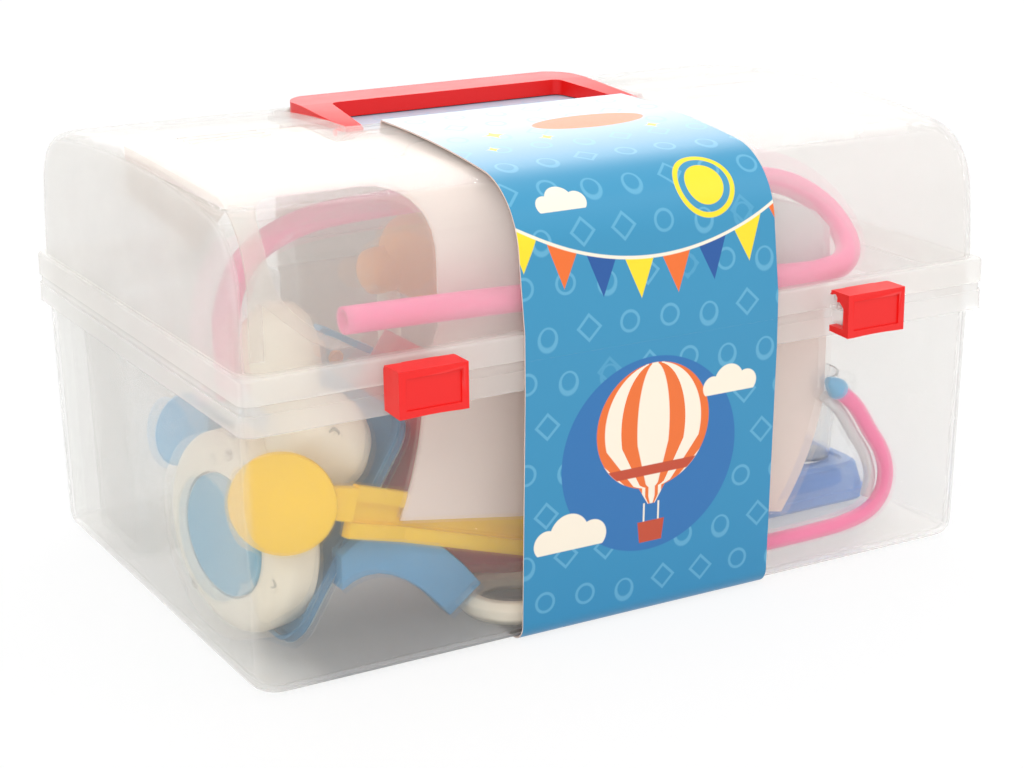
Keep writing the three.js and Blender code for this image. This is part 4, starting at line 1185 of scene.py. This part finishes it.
@dataclass
class Stethoscope:
    """Pink vinyl tube of the stethoscope, in its photographed loop."""

    radius: float = 4.0
    bore: float = 2.75
    open_depth: float = 10.0
    sides: int = 28
    route: Sequence[Point] = (
        (-95, -78.4, 106.6), (-66, -78.4, 106), (-36, -78.4, 105), (-6, -78.4, 103.2), (24, -78.4, 101),
        (52, -78.4, 99), (69, -78, 98.2), (80, -75.5, 99), (87, -70, 101.5), (90.5, -62, 106),
        (90, -53, 112), (82, -46.5, 118.5), (66, -43.5, 122.5), (20, -40, 125.5), (-20, -36, 126.5),
        (-58, -32, 126.5), (-86, -29, 123), (-102, -27.5, 114), (-109, -27.6, 99), (-109.5, -28, 84),
        (-109.5, -28, 73),
    )

    def build(self) -> None:
        route = curve([Vector(point) for point in self.route])
        form = Form()
        form.tube(route, self.radius, self.sides, (0, 0, 1), self.bore, self.open_depth)
        mesh = form.mesh("vinyl_tube", 180.0)
        for polygon in mesh.polygons:
            polygon.use_smooth = len(polygon.vertices) == 4
        pink = Dress.PINK.material
        tube = place_piece("vinyl_tube", mesh, "case", ["stethoscope_tube"], [pink])


@dataclass(frozen=True)
class Turned:
    """A toy of turned bodies, each with its profile, centre, axis and sides."""

    name: str
    node: str
    slot: str
    dress: Dress
    bodies: Sequence[tuple[Outline, Point, Point, int]]
    angle: float = 32.0

    def build(self) -> None:
        """Make the toy."""
        form = Form()
        for body in self.bodies:
            form.lathe(*body)
        form.place(self.name, [self.node], self.slot, self.dress, angle=self.angle)


@dataclass(frozen=True)
class Vessel:
    """A rounded vessel: ovals from its base over its rim to its floor.

    A level is a height along out, and then half the length, half the depth, the corner's radius and,
    where it isn't zero, the offset of the oval. A band of another finish lies over the edge of the base; on
    the tray it is a painted highlight.
    """

    name: str
    node: str
    slot: str
    dress: Dress
    middle: Point
    along: Point
    out: Point
    levels: Sequence[Sequence[float]]
    band: Dress | None = None
    # How far the band stands proud of the base; on the tray the band is a painted highlight.
    highlight_proud: float = 0.12

    def build(self) -> None:
        """Make the vessel."""
        middle, along, out = Vector(self.middle), Vector(self.along), Vector(self.out)
        rings = [
            [middle + along * u + Vector((0, v, 0)) + out * height for u, v in oval(*size)]
            for height, *size in self.levels
        ]
        form = Form()
        form.skin(rings)
        dresses = [self.dress]
        # The band: a proud strip over the base edge, which on the tray is a painted highlight.
        if self.band:
            form.ink = 1
            dresses.append(self.band)
            form.skin([
                [point + (point - middle).normalized() * self.highlight_proud for point in ring]
                for ring in rings[:2]
            ], capped=False)
        form.place(self.name, [self.node], self.slot, *dresses)


@dataclass
class YellowTool:
    """Yellow tool: a disc that faces forward left, a neck and a channelled grip behind the liner."""

    disc: Outline = ((0, -1.7), (14.2, -1.7), (15.4, -1.0), (15.6, 0), (15.4, 1.0), (14.2, 1.7), (0, 1.7))
    centre: Point = (-112.2, -71.0, 53.6)
    turn: float = math.radians(29.5)
    neck: tuple[Point, Point] = ((-101.5, -75.4, 53.4), (-92.0, -74.7, 50.9))
    neck_size: tuple[float, float, float] = (4.6, 5.0, 1.6)
    grip: Sequence[tuple[Point, float]] = (
        ((-93.0, -75.0, 49.0), 7.8), ((-72.5, -68.4, 41.2), 7.4), ((-20.0, -67.6, 23.6), 6.4),
    )
    half: float = 1.5
    rim: float = 2.3
    lap: float = 0.1

    def build(self) -> None:
        """Make the tool."""
        form = Form()
        form.lathe(self.disc, self.centre, (-math.sin(self.turn), -math.cos(self.turn), 0), 72)
        form.bar(*(Vector(point) for point in self.neck), *self.neck_size)
        for (low, first), (high, last) in zip(self.grip, self.grip[1:]):
            self._rail(form, Vector(low), Vector(high), first, last)
        form.place("yellow_tool", ["yellow_spatula"], "yellow_plastic", Dress.YELLOW)

    def _rail(self, form: Form, low: Vector, high: Vector, first: float, last: float) -> None:
        """Add a length of channelled grip: two rims and a thin floor between them.

        Args:
            form: The tool's form.
            low: Its start.
            high: Its end.
            first: Half its height at the start.
            last: Half its height at the end.
        """
        across, up = upright(low, high)
        for sign in (-1, 1):
            ends = (low + up * sign * (first - self.rim), high + up * sign * (last - self.rim))
            form.bar(*ends, self.rim, self.rim, self.half)
        back = -across * (self.half * 0.55)
        inner = self.lap - 2 * self.rim
        form.bar(low + back, high + back, first + inner, last + inner, self.half * 0.4)


@dataclass
class Probe:
    """Blue instrument with a sloping top, a paler face and a button, behind the dishes."""

    outline: Outline = (
        (-64, 3.4), (-38, 3.4), (-37.5, 60), (-38.5, 64.5), (-42, 68), (-50, 72.2), (-57, 76.4),
        (-60.5, 77.8), (-63.3, 76.6), (-64.6, 73),
    )
    body: Pair = (11.2, 17.2)
    face: Pair = (10.6, 11.4)
    face_centre: Pair = (-51.0, 40.0)
    face_share: Pair = (0.86, 0.93)
    button: Outline = ((0, -1.2), (2.0, -1.2), (2.5, -0.6), (2.5, 0.6), (0, 0.6))
    button_place: Point = (-56.8, 10.4, 67.6)

    def build(self) -> None:
        """Make the probe and its button."""
        form = Form()
        form.prism(self.outline, *self.body, Axis.Y)
        form.ink = 1
        (x0, z0), (wide, tall) = self.face_centre, self.face_share
        face = [(x0 + (x - x0) * wide, z0 + (z - z0) * tall) for x, z in self.outline]
        form.prism(face, *self.face, Axis.Y)
        form.ink = 2
        form.lathe(self.button, self.button_place, (0, 1, 0), 32)
        form.place("blue_probe_fine", ["blue_probe", "probe_button"], "pale_blue_plastic", Dress.SKY_BLUE,
                   Dress.PALE_BLUE_WHITE, Dress.ORANGE)


@dataclass
class Headset:
    """Headset bow with its pale blue ear tip, and a grey tube along the inside of its upper end: painted
    shade.
    """

    route: Outline = (
        (81.4, 56.5), (87.5, 50.7), (93.8, 41.3), (98.9, 33.5), (101.2, 26.0), (100.0, 18.7), (95.1, 13.6),
        (85.8, 11.0), (71.7, 10.2), (55.2, 10.1), (22.0, 9.6),
    )
    depth: float = -76.0
    radius: float = 2.6
    tip: Outline = ((0, 0), (2.7, 0), (3.3, 0.8), (3.5, 2.4), (2.6, 5.0), (1.3, 7.4), (0, 7.8))
    tip_place: Point = (81.6, -76.0, 56.3)
    tip_axis: Point = (-0.75, 0, 0.66)
    # A grey tube beside the bow's upper end: painted shade along the inside of the bow.
    shade_points: int = 6
    shade_offset: Point = (-4.2, 3.0, -1.6)
    shade_radius: float = 1.9

    def build(self) -> None:
        """Make the bow, the tip and the grey tube of painted shade."""
        bow = [Vector((x, self.depth, z)) for x, z in self.route]
        form = Form()
        form.tube(curve(bow), self.radius)
        form.ink = 1
        form.lathe(self.tip, self.tip_place, self.tip_axis, 48)
        # Third finish: the grey tube of painted shade along the bow.
        form.ink = 2
        shade_path = [point + Vector(self.shade_offset) for point in bow[:self.shade_points]]
        form.tube(curve(shade_path), self.shade_radius, 16)
        form.place("headset_bow_fine", ["headset_bow"], "pink_plastic", Dress.PINK, Dress.SKY_BLUE,
                   Dress.GREY)


LEAN = math.radians(12)
CHEST_AXIS: Point = (-math.cos(LEAN), -math.sin(LEAN), 0.0)
CHEST_FACE: Point = (-118.0, -38.0, 34.2)
HEAD_AXIS: Point = (0.28, 0.95, 0.12)


@dataclass
class ScrewHoles:
    """Small recesses in the chest piece's ring and in the cream head."""

    hole: Outline = ((0, -0.1), (1.0, -0.1), (1.15, 0.25), (1.5, 0.3), (1.8, 0.0), (1.8, -0.8), (0, -0.8))
    on_ring: Outline = ((-4.8, 26.1), (16.9, -20.4), (-24.0, -8.0))
    ring_depth: float = 0.55
    on_head: Point = (-93.3, -66.0, 69.7)

    def build(self) -> None:
        """Make the recesses."""
        form = Form()
        axis = Vector(CHEST_AXIS)
        across = Vector((-math.sin(LEAN), math.cos(LEAN), 0))
        face = Vector(CHEST_FACE) - axis * self.ring_depth
        for side, up in self.on_ring:
            form.lathe(self.hole, face + across * side + Vector((0, 0, up)), axis, 24)
        form.lathe(self.hole, self.on_head, -Vector(HEAD_AXIS), 24)
        form.place("screw_holes", ["chest_piece"], "cream_plastic", Dress.CREAM_SHADOW)


@dataclass
class LatchCheek:
    """Closed left side of the left latch."""

    pivot: Pair = (-90.45, 93.0)
    outline: Outline = (
        (-7.1, -11.1), (-4.0, -10.9), (2.0, -10.7), (2.2, -6.0), (2.2, 1.2), (1.4, 2.2), (-7.1, 2.3),
    )
    left: float = -87.85
    right: float = -87.15

    def build(self) -> None:
        """Make the cheek."""
        form = Form()
        outline = [(self.pivot[0] + y, self.pivot[1] + z) for y, z in self.outline]
        form.prism(outline, self.left, self.right, Axis.X)
        form.place("latch_cheek", ["latch_left"], "red_plastic", Dress.RED, body="latch_left")


TRAY_TILT = math.radians(58)
TRAY_UP = Vector((math.cos(TRAY_TILT), 0, math.sin(TRAY_TILT)))
TRAY_CORNER = Vector((-105.5, -63.6, 3.4))
TOYS: Sequence[Turned | Vessel | YellowTool | Probe | Headset | ScrewHoles | LatchCheek] = (
    Turned("chest_piece_fine", "chest_piece", "cream_plastic", Dress.CREAM, ((
        ((0, -21), (14, -21), (15.5, -19.5), (19, -15.5), (29.5, -14), (31, -12.5), (31, -4.5), (30.2, -2.8),
         (28.2, -1.2), (25.5, -0.3), (21, 0), (19.6, -0.4), (19.3, -2.6), (0, -2.6)),
        CHEST_FACE, CHEST_AXIS, 96,
    ),)),
    Turned("chest_dial_fine", "chest_dial", "grey_blue_plastic", Dress.DIAL_BLUE, ((
        ((0, -2.5), (18.9, -2.5), (18.9, -0.7), (18.3, -0.2), (0, -0.2)), CHEST_FACE, CHEST_AXIS, 96,
    ),)),
    YellowTool(),
    # The tray's pale blue-white band over its base edge is a painted highlight.
    Vessel(
        "blue_tray_fine", "blue_tray", "grey_blue_plastic", Dress.TRAY_BLUE,
        TRAY_CORNER + TRAY_UP * 38.0 + Vector((0, 33.0, 0)), TRAY_UP,
        (-math.sin(TRAY_TILT), 0, math.cos(TRAY_TILT)),
        ((0.0, 36.5, 31.5, 8.0), (1.4, 38.0, 33.0, 9.0), (4.2, 38.0, 33.0, 9.0), (4.2, 36.8, 31.8, 7.8),
         (2.2, 36.8, 31.8, 7.8), (1.2, 35.6, 30.6, 7.0)), Dress.PALE_BLUE_WHITE,
    ),
    Vessel(
        "red_dish_fine", "red_dish", "dish_red_plastic", Dress.DISH_RED, (-60.5, -28.0, 26.6),
        (0.655, 0, -0.755), (0.755, 0, 0.655),
        ((0.0, 18.5, 26.0, 7.0, -0.5), (2.5, 22.0, 28.0, 8.0, 1.0), (19.0, 35.25, 29.0, 10.0, 10.25),
         (45.0, 44.0, 29.0, 12.0, 12.0), (45.0, 42.4, 27.4, 10.5, 12.0), (19.6, 33.65, 27.4, 8.5, 10.25),
         (4.1, 20.4, 26.4, 6.5, 1.0), (1.6, 16.9, 24.4, 5.5, -0.5)),
    ),
    Turned("cream_head_fine", "otoscope_head", "cream_plastic", Dress.CREAM, (
        (((0, -14), (7.5, -14), (10.5, -12.6), (13.6, -8), (15.6, -1), (15.6, 4), (13.2, 12), (8.5, 19),
          (6.2, 26), (4.2, 34), (3.0, 34), (3.0, 28), (0, 28)), (-92.0, -52.0, 62.5), HEAD_AXIS, 64),
        (((0, -2), (7.5, -2), (10.2, 2), (11.8, 9), (11.8, 17), (10.0, 24), (6.0, 28.6), (0, 30)),
         (-97.5, -42.0, 74.0), (-0.04, 0.1, 1), 64),
    ), 50),
    Turned("blue_funnel", "blue_syringe", "pale_blue_plastic", Dress.SKY_BLUE, ((
        ((0, 0), (10.2, 0), (11.3, 1.0), (11.2, 2.4), (6.4, 18), (4.4, 28), (0, 28)),
        (-118.3, -8.0, 59.2), (0.86, 0.3, -0.42), 64,
    ),)),
    Probe(),
    Turned("hammer_head_fine", "hammer_head", "orange_plastic", Dress.ORANGE, (
        (((0, -12), (9.5, -12), (12.2, -10.6), (13.6, -7), (13.6, 7), (12.2, 10.6), (9.5, 12), (0, 12)),
         (-13.5, 33.0, 91.5), (0.35, 0.93, 0.1), 64),
        (((0, 0), (5.6, 0), (7.3, 1.3), (7.9, 3.6), (7.9, 14), (0, 14)),
         (-35.0, 32.0, 88.0), (1, 0.1, 0.03), 48),
    ), 50),
    Headset(),
    Vessel(
        "blue_box_fine", "blue_box", "deep_blue_plastic", Dress.DEEP_BLUE, (93.0, -26.0, 0),
        (1, 0, 0), (0, 0, 1),
        ((3.3, 26.5, 18.5, 6.0), (4.8, 28.0, 20.0, 7.0), (7.4, 27.8, 19.8, 7.0), (7.8, 27.0, 19.2, 6.8),
         (15.8, 24.8, 17.6, 6.0), (17.0, 23.4, 16.4, 5.5), (17.0, 21.0, 14.0, 5.0), (16.2, 20.2, 13.2, 5.0)),
    ),
    Turned("clear_cup_fine", "clear_cup", "clear_plastic", Dress.CLEAR, ((
        ((0, 16.2), (9.0, 16.2), (9.6, 17.0), (12.0, 47.2), (11.6, 47.6), (11.0, 47.2), (8.8, 17.8),
         (0, 17.8)),
        (104.0, -27.0, 0), (0, 0, 1), 64,
    ),)),
    ScrewHoles(),
    LatchCheek(),
)

REFINED: Sequence[tuple[str, str, str, Dress, float]] = (
    ("tub", "case", "frosted_plastic", Dress.FROSTED_TUB, 0.0),
    ("lid", "lid", "frosted_plastic", Dress.FROSTED_LID, 0.0),
    ("handle", "handle", "red_plastic", Dress.RED, 0.5),
    ("latch_left", "latch_left", "red_plastic", Dress.RED, 0.35),
    ("latch_right", "latch_right", "red_plastic", Dress.RED, 0.35),
    ("forceps_arm", "case", "mid_blue_plastic", Dress.TOOL_BLUE, 0.6),
    ("forceps_grip", "case", "cream_plastic", Dress.CREAM, 0.5),
    ("hammer_handle", "case", "cream_plastic", Dress.CREAM, 0.3),
    ("cream_case", "case", "cream_plastic", Dress.FAINT_CREAM, 0.5),
    ("grey_paddle", "case", "grey_plastic", Dress.GREY, 0.4),
)


def main() -> None:
    """Build the scene."""
    logging.basicConfig(level=logging.INFO, format="%(message)s")
    bpy.context.scene.view_settings.view_transform = "Standard"
    bpy.context.view_layer.update()
    for part in (Studio(), Stethoscope(), CardBand()):
        part.build()
    for copied in REFINED:
        refine(*copied)
    for part in (CardLiner(), *TOYS):
        part.build()


if __name__ == "__main__":
    main()
